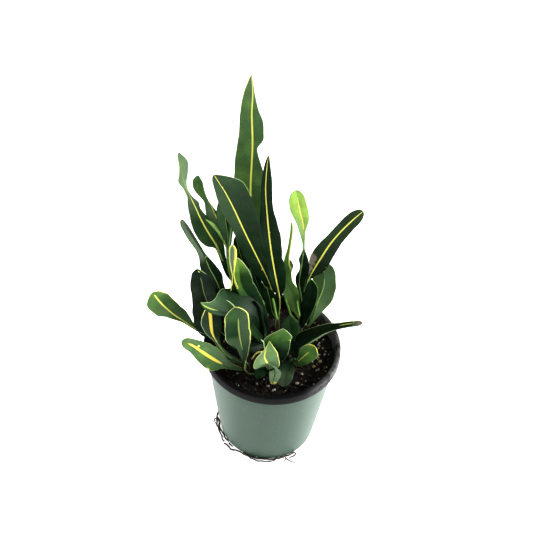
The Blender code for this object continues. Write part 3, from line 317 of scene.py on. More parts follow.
leafy_stem("stem_front_left", [(-26, -30, FOOT), (-25, -30, 130), (-25, -29, 142)], (3, 2.2), [
    leaf("spoon", [(-25, -29, 138), (-29, -31, 146), (-30, -34, 160), (-34, -37, 189), (-36, -40, 211),
         (-37, -42, 230), (-41, -44, 246)], [(-50, 20), (-88, 25), (-80, 35)],
         {15: 3, 27: 4.5, 36: 5, 41: 8.5, 46: 14, 53: 15, 70: 14.2, 84: 14, 93: 14, 100: 13},
         {12: 3, 27: 6, 41: 9.5, 55: 11.5, 63: 12, 69: 11, 76: 11, 83: 11, 92: 10, 100: 8.5}, tip=14,
         fold=(4, 8), youth=({50: 0.3, 62: 0.27, 75: 0.35, 90: 0.46}, {0: 0.26, 70: 0.31, 100: 0.46}),
         pale=({0: 0.06, 40: 0.14, 50: 0.12, 57: 0, 100: 0.01}, {0: 0.06, 30: 0.1, 50: 0.14, 75: 0.13,
         100: 0.02}), gold=0.1, rib={30: 0, 38: 0.4, 50: 0.6, 65: 0.65, 80: 0.6, 86: 0},
         rim=({0: 0, 40: 0.1, 48: 0.6, 70: 0.8, 82: 1.1, 90: 0.8}, {0: 0.5, 30: 0.7, 60: 0.9, 100: 1}),
         rim_tone=({0: 0.2, 60: 0.25, 76: 0.5, 84: 0.8, 92: 0.35, 100: 0.6}, {0: 0.3, 45: 0.4, 60: 0.75,
         100: 0.7})),
    leaf("dark_spoon", [(-25, -29, 137), (-39, -29, 146), (-50, -27, 153), (-59, -25, 169),
         (-64, -25, 183), (-66, -24, 206), (-67, -23, 221)], [(-90, 60), (-95, 40), (-100, 35)],
         {10: 2, 27: 4, 41: 3, 48: 2, 55: 3, 62: 6.5, 69: 9.5, 76: 10.5, 83: 10, 90: 8, 100: 7},
         {10: 2, 27: 3.5, 41: 2, 48: 3, 55: 6, 62: 9, 72: 11, 85: 11, 100: 8}, tip=14, fold=5,
         youth={42: 0.3, 50: 0.08, 56: 0},
         pale=({0: 0.05, 45: 0.08, 60: 0.12, 75: 0.1, 100: 0.08}, {0: 0.05, 48: 0.1, 60: 0.02, 100: 0}),
         gold={44: -0.4, 54: 0.9, 100: 1},
         rib={16: 0, 24: 1.5, 36: 1.8, 44: 0.8, 48: 0, 54: 0.6, 60: 1, 70: 1.6, 80: 1.8},
         rim=({0: 0.2, 50: 0.3, 60: 0.9, 82: 0.8, 88: 1}, 0), rim_tone=({84: 0, 88: 0.8}, 0)),
    leaf("over_rim", [(-26, -31, 134), (-33, -33, 136), (-45, -36, 142), (-55, -38, 151), (-65, -41, 163),
         (-75, -43, 175), (-85, -45, 186.5), (-94, -46.5, 191)], [(-95, 65), (-95, 60)],
         {20: 2, 27: 2.5, 34: 5.5, 41: 10.5, 48: 12.5, 55: 12.5, 65: 11, 76: 9, 88: 7, 100: 6},
         {12: 3, 20: 5, 27: 7.5, 41: 11.5, 55: 12.5, 62: 12, 76: 9.5, 84: 7.5, 92: 6, 100: 5}, tip=8,
         fold=-3, youth=({0: 0.5, 50: 0.64, 100: 0.68}, {0: 0.4, 60: 0.56, 100: 0.66}),
         pale=({0: 0, 50: 0.06, 90: 0.1, 100: 0.2}, {0: 0.12, 50: 0.16, 75: 0.1, 100: 0.16}), gold=1,
         rib={28: 0, 34: 0.5, 42: 1.2, 52: 1.5, 64: 1.6, 75: 1.3, 85: 1.1, 91: 0.8, 94: 0},
         rim=(0.2, {0: 0.3, 22: 0.8, 28: 0.2, 85: 0.1}), rim_tone=(0.2, 0.5),
         spots=[(78, 3, 1.6), (52, -11.6, 1.4), (49, -11.8, 1.2)]),
])
leafy_stem("stem_front", [(-3, -32, FOOT), (-2, -32, 130), (-2, -31, 142)], (3, 2.2), [
    leaf("saddle", [(-2, -33, 140), (-3, -42, 152), (-4, -46, 164), (-8, -47, 176), (-7, -46, 187),
         (-4, -43, 197)], [(-90, 30), (-90, 50), (-90, 50)],
         {30: 2, 41: 3, 46: 13, 52: 15.5, 60: 13, 66: 8, 72: 4.5, 80: 2, 86: 0.6, 100: 0.4},
         {12: 6, 22: 9, 34: 11.5, 44: 13, 56: 14.5, 74: 14.5, 82: 13, 88: 10.5, 94: 7, 100: 3}, tip=8,
         fold=0, wave=0.8, waves=3,
         youth=({40: 0.67, 52: 0.77, 100: 0.81}, {40: 0.58, 60: 0.74, 100: 0.77}),
         pale=({0: 0.3, 50: 0.4, 60: 0.45, 100: 0.34}, {0: 0.7, 32: 0.5, 46: 0.3, 70: 0.3, 100: 0.34}),
         gold=0.55, rib={38: 0, 42: 0.7, 60: 0.7, 80: 0.65, 86: 0.4, 100: 0}, rim=({40: 0.3, 48: 0.8,
         80: 0.8, 100: 1.1}, {0: 0.2, 40: 0.4, 56: 0.6, 66: 0.9, 90: 1, 100: 1.1}), rim_tone=(0.4, 0.75)),
    leaf("flap", [(0, -34, 137), (0, -42, 156), (1, -50, 165), (4, -54, 166), (4, -57, 162),
         (3, -58, 154), (3, -58, 145)], [(100, 60), (80, 10), (80, -10)],
         {40: 5, 60: 7, 75: 6, 88: 4.5, 100: 4}, {40: 5, 60: 7, 75: 6.5, 88: 5, 100: 4.5}, fold=0,
         youth=0.4, pale=0.42, gold=0, rib=0, spots=[(93, 2, 2), (97, -2, 1.6), (96, 1, 1.3)]),
    # Its nearly black lower half is painted shade.
    leaf("front_green", [(-2, -31, 138), (2, -33, 154), (4, -36, 180), (5, -38, 199), (10, -39, 213)],
         [(-90, 30), (-85, 40)],
         {20: 5, 27: 7.5, 41: 10.5, 55: 13, 68: 14.3, 76: 12, 83: 7.5, 90: 4, 100: 2},
         {15: 5, 34: 13.5, 55: 14, 76: 14, 86: 13.5, 94: 12.5, 100: 11}, tip=10, fold=(-4, -8),
         youth=({0: 0.06, 45: 0.1, 58: 0.34, 72: 0.66, 100: 0.76}, {0: 0.04, 42: 0.08, 60: 0.34, 75: 0.62,
         100: 0.78}), gold=0.1, rib=0,
         rim=({0: 0.1, 60: 0.4, 100: 0.7}, {0: 0.1, 60: 0.2, 72: 0.4, 88: 0.8, 100: 0.9}), rim_tone=0.1,
         spots=[(74, 13.2, 2)]),
    leaf("loop", [(-3, -32, 139), (-5, -34, 158), (-9, -36, 170), (-15, -40, 175), (-21, -46, 170)],
         [(-70, 60)], {0: 1, 30: 0.9, 60: 0.7, 100: 0.6}, tip=15, youth=0.6, rib=0, rim=1.2,
         rim_tone=0.8),
    leaf("foot", [(-3, -33, 136), (-8, -37, 142), (-12, -42, 143), (-15, -48, 140)], [(-90, 60)],
         {40: 6, 75: 6, 100: 3}, tip=25, youth=0.25, gold=0, rib=0),
    leaf("hem", [(-3, -32, 136), (-15, -36, 134), (-22, -38, 135), (-27, -39, 141), (-28, -39, 149),
         (-27, -38, 158)], [(-90, 50), (-60, 40)], {0: 0.7, 100: 0.6}, tip=6, youth=0.6, pale=0.4, rib=0,
         rim=1, rim_tone=0.3),
    leaf("wisp", [(-2, -33, 140), (-4, -40, 166), (-7, -44, 182), (-9, -45, 191), (-10, -45, 198),
         (-13, -45, 201)], [(-60, 30), (-20, 40)], {0: 0.7, 60: 0.6, 100: 0.5}, tip=6, youth=0.6,
         pale=0.6, rib=0, rim=1, rim_tone=0.2),
])
leafy_stem("stem_right", [(30, 30, FOOT), (31, 31, 130), (32, 32, 150)], (3, 2.2), [
    leaf("long_strap", [(32, 33, 146), (32, 41, 179), (36, 45, 204), (46, 47, 233), (56, 48, 258),
         (68, 47, 281), (82.5, 46, 303)], [(-100, 30), (-110, 35), (-110, 40)],
         {14: 2, 30: 3, 38: 4, 43: 7, 48: 10.5, 55: 11.3, 62: 10, 69: 8.3, 76: 7.5, 84: 8, 100: 7.3},
         {25: 1.6, 34: 2, 40: 5.5, 44: 10, 50: 11.3, 62: 10.5, 76: 9, 84: 8, 100: 7.3}, tip=9, fold=5,
         youth=(0.14, 0.1), pale=({0: 0.06, 45: 0.07, 60: 0.08, 90: 0.06, 100: 0.11}, {0: 0.01, 45: 0.02,
         58: 0.06, 90: 0.07, 100: 0.13}), rib={0: 0.34, 30: 0.51, 55: 0.77, 80: 0.72, 94: 0.55, 100: 0.3},
         spots=[(47, 10.6, 1.2), (50, 10.4, 0.9), (53, 10.8, 0.6)],
         dry=[(50, -8, 6.5), (46.5, -6, 5), (42, -3.5, 3.4), (38, -3, 2.4)]),
    leaf("lime_paddle", [(31, 32, 146), (29, 31, 186), (25, 33, 204), (25, 35, 226), (26, 38, 243),
         (26, 40, 254), (25, 43, 268), (23, 45, 282), (18, 47, 300), (13, 50, 322)],
         [(-100, 10), (-110, 10), (-90, 10), (-85, 15), (-80, 15)], {15: 2, 28: 2, 36: 4.5, 40: 4.5,
         44: 1.6, 48: 1.6, 52: 4.5, 56: 2.5, 60: 1, 64: 2, 72: 5, 80: 7.2, 90: 9.6, 100: 9.5}, {15: 3,
         28: 4.5, 36: 6.5, 44: 9, 48: 8.5, 52: 6.5, 56: 3.5, 60: 1, 66: 1, 72: 2, 76: 5, 80: 7.5, 86: 8.5,
         100: 7.5}, tip=8, fold=6, youth={0: 0.06, 54: 0.08, 60: 0.84, 70: 0.9, 80: 0.94, 100: 0.95},
         pale=({0: 0, 54: 0.02, 62: 0.4, 75: 0.3, 88: 0}, {56: 0, 62: 0.4, 75: 0.1, 88: 0}),
         gold={56: 0, 66: 0.42}, rib={54: 0.45, 58: 0, 70: 0, 74: 0.6, 88: 0.8, 94: 0.3, 97: 0}),
    leaf("sliver", [(31, 31, 145), (26, 32, 168), (19, 34, 188), (12, 35, 207), (10, 38, 233),
         (11, 41, 255), (12, 43, 273), (11, 44, 284)], [(-90, 20), (-90, 20), (-110, 10), (-120, 10)],
         {10: 4, 18: 8.5, 27: 11, 36: 9.5, 44: 7.5, 52: 4.5, 62: 4, 69: 3, 76: 1.6, 100: 1.5},
         {12: 4, 25: 9, 40: 7, 48: 5.5, 55: 5.5, 62: 2.6, 76: 2, 100: 1.8}, tip=5, youth=({0: 0.76,
         14: 0.74, 40: 0.7, 60: 0.75, 80: 0.82}, {0: 0.86, 25: 0.76, 60: 0.73, 100: 0.82}),
         pale={0: 0.16, 45: 0.1, 60: 0}, gold=0.2, rib=0,
         rim=(0, {0: 0, 56: 0.2, 62: 0.8, 80: 1.1, 100: 1}), rim_tone=0.7),
    leaf("dark_hook", [(31, 31, 145), (31, 20, 152), (34, 17, 170), (36, 16, 188), (38, 13, 211),
         (37, 11, 225), (35, 9, 238)], [(-120, 20), (-100, 20), (-100, 40)],
         {15: 3, 27: 5, 41: 7, 55: 8.5, 76: 9, 83: 8, 90: 6.5, 100: 5},
         {15: 2.5, 27: 3.5, 41: 5, 55: 6.5, 83: 6.5, 90: 6, 95: 5, 100: 4}, tip=14, fold=12, youth=0.04,
         gold=0, rib=0, rim=({70: 0, 85: 0.4}, 0.08), rim_tone=-0.5),
    leaf("kink", [(31, 31, 145), (31, 24, 170), (32, 20, 195), (37, 20, 206), (41, 20, 214),
         (34, 20, 224), (32, 20, 215), (37, 20, 205)], [(-90, 30), (-100, 40)], {0: 1, 40: 0.6, 100: 0.4},
         tip=4, youth=0.5, pale=0.6, rib=0),
    leaf("stalk_b", [(31, 31, 145), (20, 28, 158), (15, 28, 173), (11, 28, 186)], [(-90, 45)], {100: 1.2},
         tip=6, fold=-30, youth=0.82, pale=0.1, gold=0, rib=0),
    leaf("stalk_c", [(31, 30, 145), (29, 28, 157), (26, 28, 170), (24, 28, 184)], [(-90, 45)],
         {0: 1.8, 100: 1.5}, tip=6, fold=-30, youth=0.82, pale=0.1, gold=0, rib=0),
])
leafy_stem("stem_outer_right", [(40, 38, FOOT), (40, 38, 125), (40, 38, 134)], (2.4, 1.8), [
    leaf("turned", [(40, 38, 131), (44, 41, 140), (47, 46, 160), (53, 51, 188), (49, 57, 217)],
         [(80, -10), (85, -10), (85, -10)],
         {8: 2, 20: 6, 34: 12, 48: 15, 60: 14.5, 76: 12.7, 90: 11.5, 100: 9},
         {8: 2, 20: 5.5, 34: 6.5, 55: 10, 76: 13.5, 90: 12, 100: 8}, tip=14, fold=4,
         youth=({25: 0.66, 45: 0.61, 60: 0.54, 100: 0.46}, {0: 0.57, 30: 0.56, 60: 0.51, 100: 0.44}),
         pale=({0: 0.5, 30: 0.4, 45: 0.14, 60: 0.02, 100: 0}, {0: 0.3, 35: 0.14, 60: 0}), gold=0,
         rib={30: 0, 42: 0.25, 70: 0.25, 84: 0}, rim=({0: 0, 60: 0.4, 100: 0.3}, 0), rim_tone=-0.5),
])
leafy_stem("stem_front_right", [(24, -12, FOOT), (24, -12, 130), (24, -12, 142)], (3, 2.2), [
    leaf("folded", [(24, -12, 138), (26, -10, 151), (33, -9, 165), (42, -9, 176), (54, -10, 184),
         (69, -12, 193), (82, -14, 200), (92, -15, 203)], [(-120, 70), (-110, 60), (-100, 60)],
         {12: 3, 25: 8, 40: 6, 48: 4.8, 62: 5, 69: 4, 76: 3, 90: 2.6, 100: 2.4},
         {12: 4, 20: 7.5, 34: 11, 41: 12, 48: 10.8, 55: 7.8, 62: 5.7, 76: 4.5, 100: 4}, tip=6, fold=20,
         youth=0.1, pale=({0: 0, 88: 0.02, 92: 0.4, 100: 0.45}, {0: 0, 86: 0.02, 91: 0.4, 100: 0.45}),
         gold=0.35, rib={72: 0, 78: 0.5, 88: 0.6, 92: 0}, rim=({0: 0, 50: 0.3, 90: 0.4, 100: 0.1}, {0: 0,
         15: 0.5, 25: 1.5, 42: 2.2, 56: 1.3, 66: 0.4, 100: 0.2}),
         rim_tone=({0: 0.3, 60: 0.4, 84: 0.6, 90: 1, 100: 0}, 0.05), spots=[(90, -2, 1.4)],
         dry=[(97, 0, 4)]),
    leaf("upright", [(24, -12, 137), (26, -19, 138), (28, -22, 141), (33, -25, 153), (39, -28, 166),
         (45, -30, 177)], [(-80, 50)], {20: 2, 34: 2.5, 41: 3.5, 48: 5, 55: 6.8, 62: 8, 83: 8.7, 100: 9},
         {15: 4, 27: 7.5, 41: 9.5, 55: 10, 76: 10, 100: 9}, tip=20, fold=4,
         youth=({0: 0.55, 60: 0.66, 100: 0.75}, {0: 0.61, 50: 0.75, 100: 0.68}), pale=0.03, gold=0.25,
         rib={28: 0, 36: 0.5, 60: 0.7, 76: 0.6, 82: 0},
         rim=({0: 0.3, 50: 0.6, 80: 0.6, 90: 1, 100: 1.2}, {85: 0.1, 94: 0.6, 100: 1.1}),
         rim_tone=({0: -0.3, 80: -0.1, 90: 0.8, 100: 1.4}, {0: 0, 90: 0.2, 96: 1, 100: 1.4})),
    leaf("drooping", [(23, -13, 137), (21, -22, 142), (18, -33, 145), (15, -44, 143), (15, -53, 136)],
         [(-90, 50), (-90, 45)], {30: 3, 50: 8, 75: 9, 100: 7.5}, tip=20, fold=4, youth=0.1,
         pale={0: 0, 50: 0.02, 75: 0.14, 100: 0.22}, gold=0, rib=0),
    leaf("round", [(24, -12, 139), (21, -6, 155), (19, -2, 165), (17, 1, 176), (16, 4, 186)], [(-90, 50)],
         {15: 3, 45: 9, 75: 10, 100: 6}, tip=25, fold=4, youth=0.4, gold=0, rib=0),
    leaf("inner", [(24, -12, 137), (25, -16, 146), (23, -18, 158), (22, -19, 173)], [(-95, 35)],
         {20: 4, 60: 6, 100: 3}, tip=20, youth=0.05, gold=0, rib=0),
])
leafy_stem("stem_back", [(-8, 52, FOOT), (-9, 53, 140), (-12, 55, 180)], (3.2, 2), [
    leaf("back_tall", [(-12, 55, 175), (-16, 60, 196), (-22, 65, 244), (-27, 70, 289)],
         [(90, 10), (90, 5)], {15: 3, 50: 11, 80: 9, 100: 4}, tip=8, rib=0.8),
    leaf("back_right", [(-11, 55, 166), (-5, 60, 180), (-4, 67, 213), (-9, 73, 257)], [(70, 10), (80, 5)],
         {15: 3, 45: 9, 80: 8, 100: 4}, tip=10, youth=0.45),
    leaf("back_left", [(-12, 55, 168), (-22, 60, 179), (-31, 67, 200), (-36, 70, 231)],
         [(110, 10), (100, 10)], {15: 3, 50: 9, 80: 8, 100: 4}, tip=10, youth=0.2, gold=0.8, rib=0.9,
         rim=0.5, rim_tone=0.6),
    leaf("back_low_right", [(-10, 54, 150), (-4, 62, 160), (6, 70, 178), (14, 75, 200)],
         [(80, 50), (80, 40)], {20: 3, 60: 10, 85: 8, 100: 4}, tip=15, fold=4, youth=0.6),
    leaf("back_low_left", [(-10, 54, 146), (-24, 60, 158), (-36, 64, 176), (-46, 66, 198)],
         [(120, 50), (120, 40)], {20: 3, 60: 10, 85: 8, 100: 4}, tip=15, fold=4, youth=0.5, gold=1,
         rib=1.1),
])

# Roots on the ground round the pot's foot: points in millimetres, and the radius at the start
ROOTS = [
    ([(-58, 8, 9), (-59, 3, 6), (-60, -2, 2.4), (-60, -8, 1.4), (-60, -12, 1.3), (-57, -18, 1.3),
      (-54, -25, 1.3), (-52, -30, 1.3), (-51, -34, 1.3), (-49, -36, 1.3)], 1.2),
    ([(-60, -3, 2.6), (-57, -9, 1.6), (-56, -16, 1.6), (-53, -22, 1.6), (-51, -25, 1.6), (-49, -29, 1.6),
      (-46, -33, 1.6), (-43, -37, 1.6)], 1.3),
    ([(-49, -39, 1.2), (-46, -40, 1.2), (-43, -43, 1.2), (-40, -46, 1.1), (-35, -47, 1.1), (-31, -48, 1.1),
      (-29, -49, 1.3), (-26, -51, 1.4), (-22, -53, 1.4), (-17, -56, 1.4), (-12, -58, 1.3), (-9, -59.5, 1.3),
      (-3, -60, 1.3), (3, -60, 1.3), (9, -58.5, 1.3), (13, -57, 1.3)], 1.0),
    ([(-26, -50.5, 1.6), (-21, -52.6, 1.6), (-15, -54.7, 1.6), (-10, -56, 1.5), (-3, -56.6, 1.5),
      (2, -56.8, 1.5), (6, -56.4, 1.5), (10, -56, 1.5), (15, -54.8, 1.5), (19, -54.6, 1.5)], 1.4),
    ([(16, -54.8, 1.4), (22, -52.3, 1.4), (26, -50.6, 1.4), (30, -48.2, 1.4), (34, -45.6, 1.4),
      (36, -46, 1.4), (35, -49, 1.3), (32, -51, 1.2), (28, -52, 1.1)], 1.05),
    ([(24, -53, 1.1), (26, -55, 1.1), (30, -57, 1.0), (34, -58, 0.9), (37, -58, 0.9)], 0.7),
    ([(25, -53, 1.0), (24, -57, 0.9), (22, -61, 0.9)], 0.5),
    ([(-60, -3, 1.6), (-63, -5, 1.4), (-62, -9, 1.2), (-60, -12, 1.2)], 0.8),
    ([(-43, -38, 1.3), (-40, -41, 1.3), (-38, -42, 1.3)], 1.1),
]

# Perlite grains that show best: place on the soil, length in millimetres, and tint from white to tan
NEAR_GRAINS = [
    (-57, -35, 3.1, 0.0), (-55, -38, 2.9, 0.3), (-54, -39, 3.1, 0.0), (-49, -44, 2.6, 0.1),
    (-47, -45, 3.1, 0.0), (-45, -47, 3.1, 0.1), (-45, -49, 2.6, 0.1), (-49, -46, 2.6, 0.2),
    (-47, -48, 3.6, 0.0), (-50, -44, 2.4, 0.0), (48, 47, 3.4, 0.9), (52, 43, 2.9, 0.2),
    (37, 43, 4.3, 0.1), (50, 20, 2.9, 0.1), (52, 8, 2.9, 0.1), (52, 13, 2.4, 0.0), (57, 9, 3.1, 0.5),
    (59, 0, 3.1, 0.1), (53, -1, 2.4, 0.0), (52, -5, 3.1, 0.3), (51, -8, 2.4, 0.1), (54, -11, 4.6, 0.4),
    (45, -12, 2.6, 0.1), (47, -18, 4.6, 0.9), (52, -21, 3.4, 0.3), (50, -23, 2.6, 0.2),
    (34, -30, 3.1, 0.2), (38, -40, 2.9, 0.6), (29, -43, 4.3, 0.2), (34, -44, 3.1, 0.6),
    (53, -34, 2.9, 0.7), (-14, -47, 3.1, 0.4), (-2, -49, 3.8, 0.3), (5, -53, 2.9, 0.0),
    (58, 22, 2.4, 0.1), (61, -18, 2.2, 0.1), (44, -48, 2.4, 0.2), (16, 37, 4.2, 0.0),
    (12, 33, 3.2, 0.1), (9, 22, 2.4, 0.1),
]


def colour_setting(name, description, default):
    return FloatVectorProperty(name=name, description=description, subtype="COLOR", default=default,
                               min=0, max=1)


class LeafSettings(bpy.types.PropertyGroup):
    """Sizes and colours of the leaves and stems"""

    thickness: FloatProperty(name="Blade thickness", description="Thickness of a leaf's blade",
                             default=0.6 * MM, min=0.3 * MM, max=1 * MM, unit="LENGTH")
    station_step: FloatProperty(name="Mesh step", description="Distance between a blade's cross sections",
                                default=3.2 * MM, min=1 * MM, max=10 * MM, unit="LENGTH")
    rib_radius: FloatProperty(name="Midrib radius",
                              description="Radius of the midrib where it leaves the stem",
                              default=1.3 * MM, min=0.5 * MM, max=2 * MM, unit="LENGTH")
    vein_step: FloatProperty(name="Vein step",
                             description="Distance between the side veins, in millimetres", default=4.2,
                             min=1, max=10)
    old_green: colour_setting("Old green", "The darkest, oldest blades", (0.005, 0.014, 0.006))
    deep_green: colour_setting("Deep green", "Full grown blades", (0.014, 0.042, 0.016))
    mid_green: colour_setting("Mid green", "Blades grown this season", (0.05, 0.116, 0.034))
    bright_green: colour_setting("Bright green", "Young blades", (0.145, 0.29, 0.058))
    lime: colour_setting("Lime", "The newest blade", (0.45, 0.7, 0.14))
    # This washed out green is also the colour of the painted sheen on the blades.
    pale_and_sheen_green: colour_setting("Washed out green", "Pale blades and undersides", (0.36, 0.5, 0.3))
    yellow: colour_setting("Midrib yellow", "Midribs, margins and spots", (1.0, 0.98, 0.2))
    golden: colour_setting("Midrib gold", "The boldest midribs", (0.9, 0.75, 0.12))
    dry_tan: colour_setting("Dry leaf", "Dead patches", (0.42, 0.36, 0.27))
    bark: colour_setting("Stem bark", "The stems where they leave the soil", (0.06, 0.055, 0.03))


class PotSettings(bpy.types.PropertyGroup):
    """Colours and fineness of the pot"""

    sides: IntProperty(name="Sides", description="Faces round the pot", default=128, min=32, max=256)
    green: colour_setting("Outside", "The plastic outside", (0.036, 0.074, 0.049))
    black: colour_setting("Inside and lip", "The plastic inside and on the lip", (0.007, 0.007, 0.008))
    # Grey of the dust, which on the lip's right side is also painted sheen.
    dust_and_sheen: colour_setting("Dust", "Dried dust on the lip", (0.17, 0.175, 0.17))


class SoilSettings(bpy.types.PropertyGroup):
    """What lies in the pot"""

    crumbs: IntProperty(name="Crumbs", description="Crumbs of peat and bark on the surface",
                        default=2400, min=0, max=5000)
    grains: IntProperty(name="Perlite grains", description="Grains besides those placed by hand",
                        default=150, min=0, max=600)
    fibres: IntProperty(name="Fibres", description="Straw and wood fibres", default=70, min=0, max=400)
    peat: colour_setting("Peat", "The dark soil", (0.009, 0.006, 0.0045))
    bark: colour_setting("Bark", "The lighter crumbs", (0.05, 0.03, 0.018))
    perlite: colour_setting("Perlite", "The white grains", (0.75, 0.74, 0.68))


class RootSettings(bpy.types.PropertyGroup):
    """Colours and thickness of the roots on the ground"""

    thickness: FloatProperty(name="Thickness",
                             description="How thick the strands are, 1 as read from the picture",
                             default=1.0, min=0.3, max=1.4)
    earth: colour_setting("Earth", "The dark, earthy parts", (0.022, 0.017, 0.013))
    skin: colour_setting("Skin", "The lighter, dry parts", (0.09, 0.06, 0.038))


class StageSettings(bpy.types.PropertyGroup):
    """Floor, light and camera"""

    floor_radius: FloatProperty(name="Floor radius", description="Radius of the pale floor",
                                default=8.0, min=1, max=20, unit="LENGTH")
    glow: FloatProperty(name="Floor glow", description="How bright the pale floor is lit from below",
                        default=0.8, min=0, max=5)
    sky: FloatProperty(name="Room light", description="Strength of the even light of the room",
                       default=0.22, min=0, max=5)
    key: FloatProperty(name="Soft boxes", description="Power of each soft box", default=5.0, min=0,
                       max=200, unit="POWER")
    lens: FloatProperty(name="Lens", description="Focal length of the camera, in millimetres",
                        default=58.9, min=20, max=200)


class Value:
    """A shader socket: arithmetic on it adds Math nodes."""

    def __init__(self, finish, socket):
        self.finish = finish
        self.socket = socket

    def math(self, operation, *operands):
        return self.finish.node("ShaderNodeMath", {"operation": operation}, dict(enumerate(operands)))

    def __add__(self, other):
        return self.math("ADD", self, other)

    def __sub__(self, other):
        return self.math("SUBTRACT", self, other)

    def __rsub__(self, other):
        return self.math("SUBTRACT", other, self)

    def __mul__(self, other):
        return self.math("MULTIPLY", self, other)

    def __abs__(self):
        return self.math("ABSOLUTE", self)

    def pingpong(self, reach):
        return self.math("PINGPONG", self, reach)

    __radd__ = __add__
    __rmul__ = __mul__


class Finish:
    """A material whose nodes are written as expressions."""

    MIX_FIRST, MIX_SECOND, MIX_RESULT = 6, 7, 2  # a Mix node's sockets for colours

    def __init__(self, name):
        self.material = bpy.data.materials.new(name)
        self.material.use_nodes = True
        self.tree = self.material.node_tree
        self.shader = self.tree.nodes["Principled BSDF"]

    def node(self, kind, settings=None, inputs=None, output=0):
        """Any node, by its type: its settings come first, then what its sockets hold."""
        made = self.tree.nodes.new(kind)
        for name, value in (settings or {}).items():
            if name == "stops":
                self.set_stops(made.color_ramp, value)
            else:
                setattr(made, name, value)
        self.fill(made, inputs or {})
        return Value(self, made.outputs[output])

    def set_stops(self, ramp, stops):
        while len(ramp.elements) < len(stops):
            ramp.elements.new(1)
        for element, (place, colour) in zip(ramp.elements, stops):
            element.position = place
            element.color = (*colour, 1)

    def fill(self, made, inputs):
        for key, value in inputs.items():
            socket = made.inputs[key]
            if isinstance(value, Value):
                self.tree.links.new(value.socket, socket)
            elif socket.type == "RGBA":
                socket.default_value = (*value, 1)
            else:
                socket.default_value = value

    def attribute(self, name):
        return self.node("ShaderNodeAttribute", {"attribute_name": name}, output="Fac")

    def place(self):
        return self.node("ShaderNodeTexCoord", output="Object")

    def noise(self, vector, scale, detail=2.0, roughness=0.5):
        inputs = {"Vector": vector, "Scale": scale, "Detail": detail, "Roughness": roughness}
        return self.node("ShaderNodeTexNoise", {}, inputs)

    def step(self, value, low, high):
        """0 below low, 1 above high, and smooth between them."""
        inputs = {"Value": value, "From Min": low, "From Max": high}
        return self.node("ShaderNodeMapRange", {"interpolation_type": "SMOOTHSTEP"}, inputs)

    def ramp(self, place, *stops):
        """The colour at a place along stops of (place, colour)."""
        return self.node("ShaderNodeValToRGB", {"stops": stops}, {0: place})

    def mix(self, factor, first, second):
        """The first colour at factor 0, and the second at 1."""
        inputs = {0: factor, self.MIX_FIRST: first, self.MIX_SECOND: second}
        return self.node("ShaderNodeMix", {"data_type": "RGBA"}, inputs, self.MIX_RESULT)

    def surface(self, colour, roughness, height=None, depth=0.0, **fixed):
        """Feed the shader. Fixed values, such as Coat Roughness, are set on its own sockets."""
        self.fill(self.shader, {"Base Color": colour, "Roughness": roughness})
        for name, value in fixed.items():
            self.shader.inputs[name.replace("_", " ")].default_value = value
        if height is not None:
            bump = {"Height": height, "Strength": 1.0, "Distance": depth}
            self.fill(self.shader, {"Normal": self.node("ShaderNodeBump", {}, bump)})
        return self.material


def leaf_finish(settings):
    """Green by the blade's age and painted shade, with painted sheen, and with its coloured midrib, margin,
    side veins, spots and dry patches.
    """
    finish = Finish("croton_leaf")
    read = finish.attribute
    across, run, underside, youth = read("across"), read("run"), read("underside"), read("youth")
    place = finish.node("ShaderNodeCombineXYZ", {}, {0: across, 1: run, 2: read("seed")})
    blotch = finish.noise(place, 0.06, 3)
    grain = finish.noise(place, 0.7, 3)
    fleck = finish.noise(place, 1.6, 2)

    vein_reach = (run - abs(across) * 0.6 + (blotch - 0.5) * 2.5).pingpong(settings.vein_step / 2)
    vein = 1 - finish.step(vein_reach, 0.1, 0.55)
    # Painted shade as well as age: a low youth also darkens stretches of blades that lie in shadow.
    age_and_shade = youth + (blotch - 0.5) * 0.3 + (grain - 0.5) * 0.14
    green = finish.ramp(age_and_shade, (0.0, settings.old_green), (0.25, settings.deep_green),
                        (0.6, settings.mid_green), (0.8, settings.bright_green), (1.0, settings.lime))
    green = finish.mix(vein * (youth * 0.04), green, settings.pale_and_sheen_green)
    # Painted sheen: patches of the blade are washed towards pale green, as gloss would look.
    painted_sheen = finish.step(blotch, 0.5, 0.75) * 0.015
    # Painted sheen and paler tone: the pale look washes a blade, or one half of it, towards pale green.
    green = finish.mix(read("pale") * (0.7 + grain * 0.6) + painted_sheen, green, settings.pale_and_sheen_green)
    green = finish.mix(underside * 0.12, green, settings.pale_and_sheen_green)
    shade = 1 - finish.step(read("edge"), 0.1, 0.8)
    green = finish.mix(shade * 0.35, green, settings.old_green)

    rim = 1 - finish.step(read("rim") + (grain - 0.5) * 0.5, 0.7, 1.15)
    rim_colour = finish.ramp(read("rim_tone") * 0.5 + 0.25, (0.0, settings.bright_green),
                             (0.25, settings.pale_and_sheen_green), (0.75, settings.yellow), (1.0, settings.golden))
    green = finish.mix(rim, green, rim_colour)

    rib_colour = finish.ramp(read("gold") * 0.667 + 0.333, (0.0, DULL_RIB), (0.33, GREEN_RIB),
                             (0.67, settings.yellow), (1.0, settings.golden))
    rib_colour = finish.mix(read("stalk") * 0.75, rib_colour, STALK_GREEN)
    rib_colour = finish.mix(underside * 0.35, rib_colour, settings.pale_and_sheen_green)
    rib = 1 - finish.step(read("rib") + (grain - 0.5) * 0.3, 0.8, 1.1)
    colour = finish.mix(rib, green, rib_colour)

    spot = finish.step(read("spot") + (fleck - 0.5) * 1.2, 0.45, 0.6)
    colour = finish.mix(spot, colour, settings.yellow)
    dry = finish.step(read("dry") + (grain - 0.5) * 0.9, 0.4, 0.65)
    dry_colour = finish.mix(finish.step(fleck, 0.4, 0.6), settings.dry_tan, DRY_BROWN)
    colour = finish.mix(dry, colour, dry_colour)

    roughness = 0.36 + grain * 0.14 + underside * 0.15 + dry * 0.4
    height = vein * -0.07 + rib * 0.7 + grain * 0.25 + blotch * 0.5
    return finish.surface(colour, roughness, height, 0.25 * MM, Specular_IOR_Level=0.06)


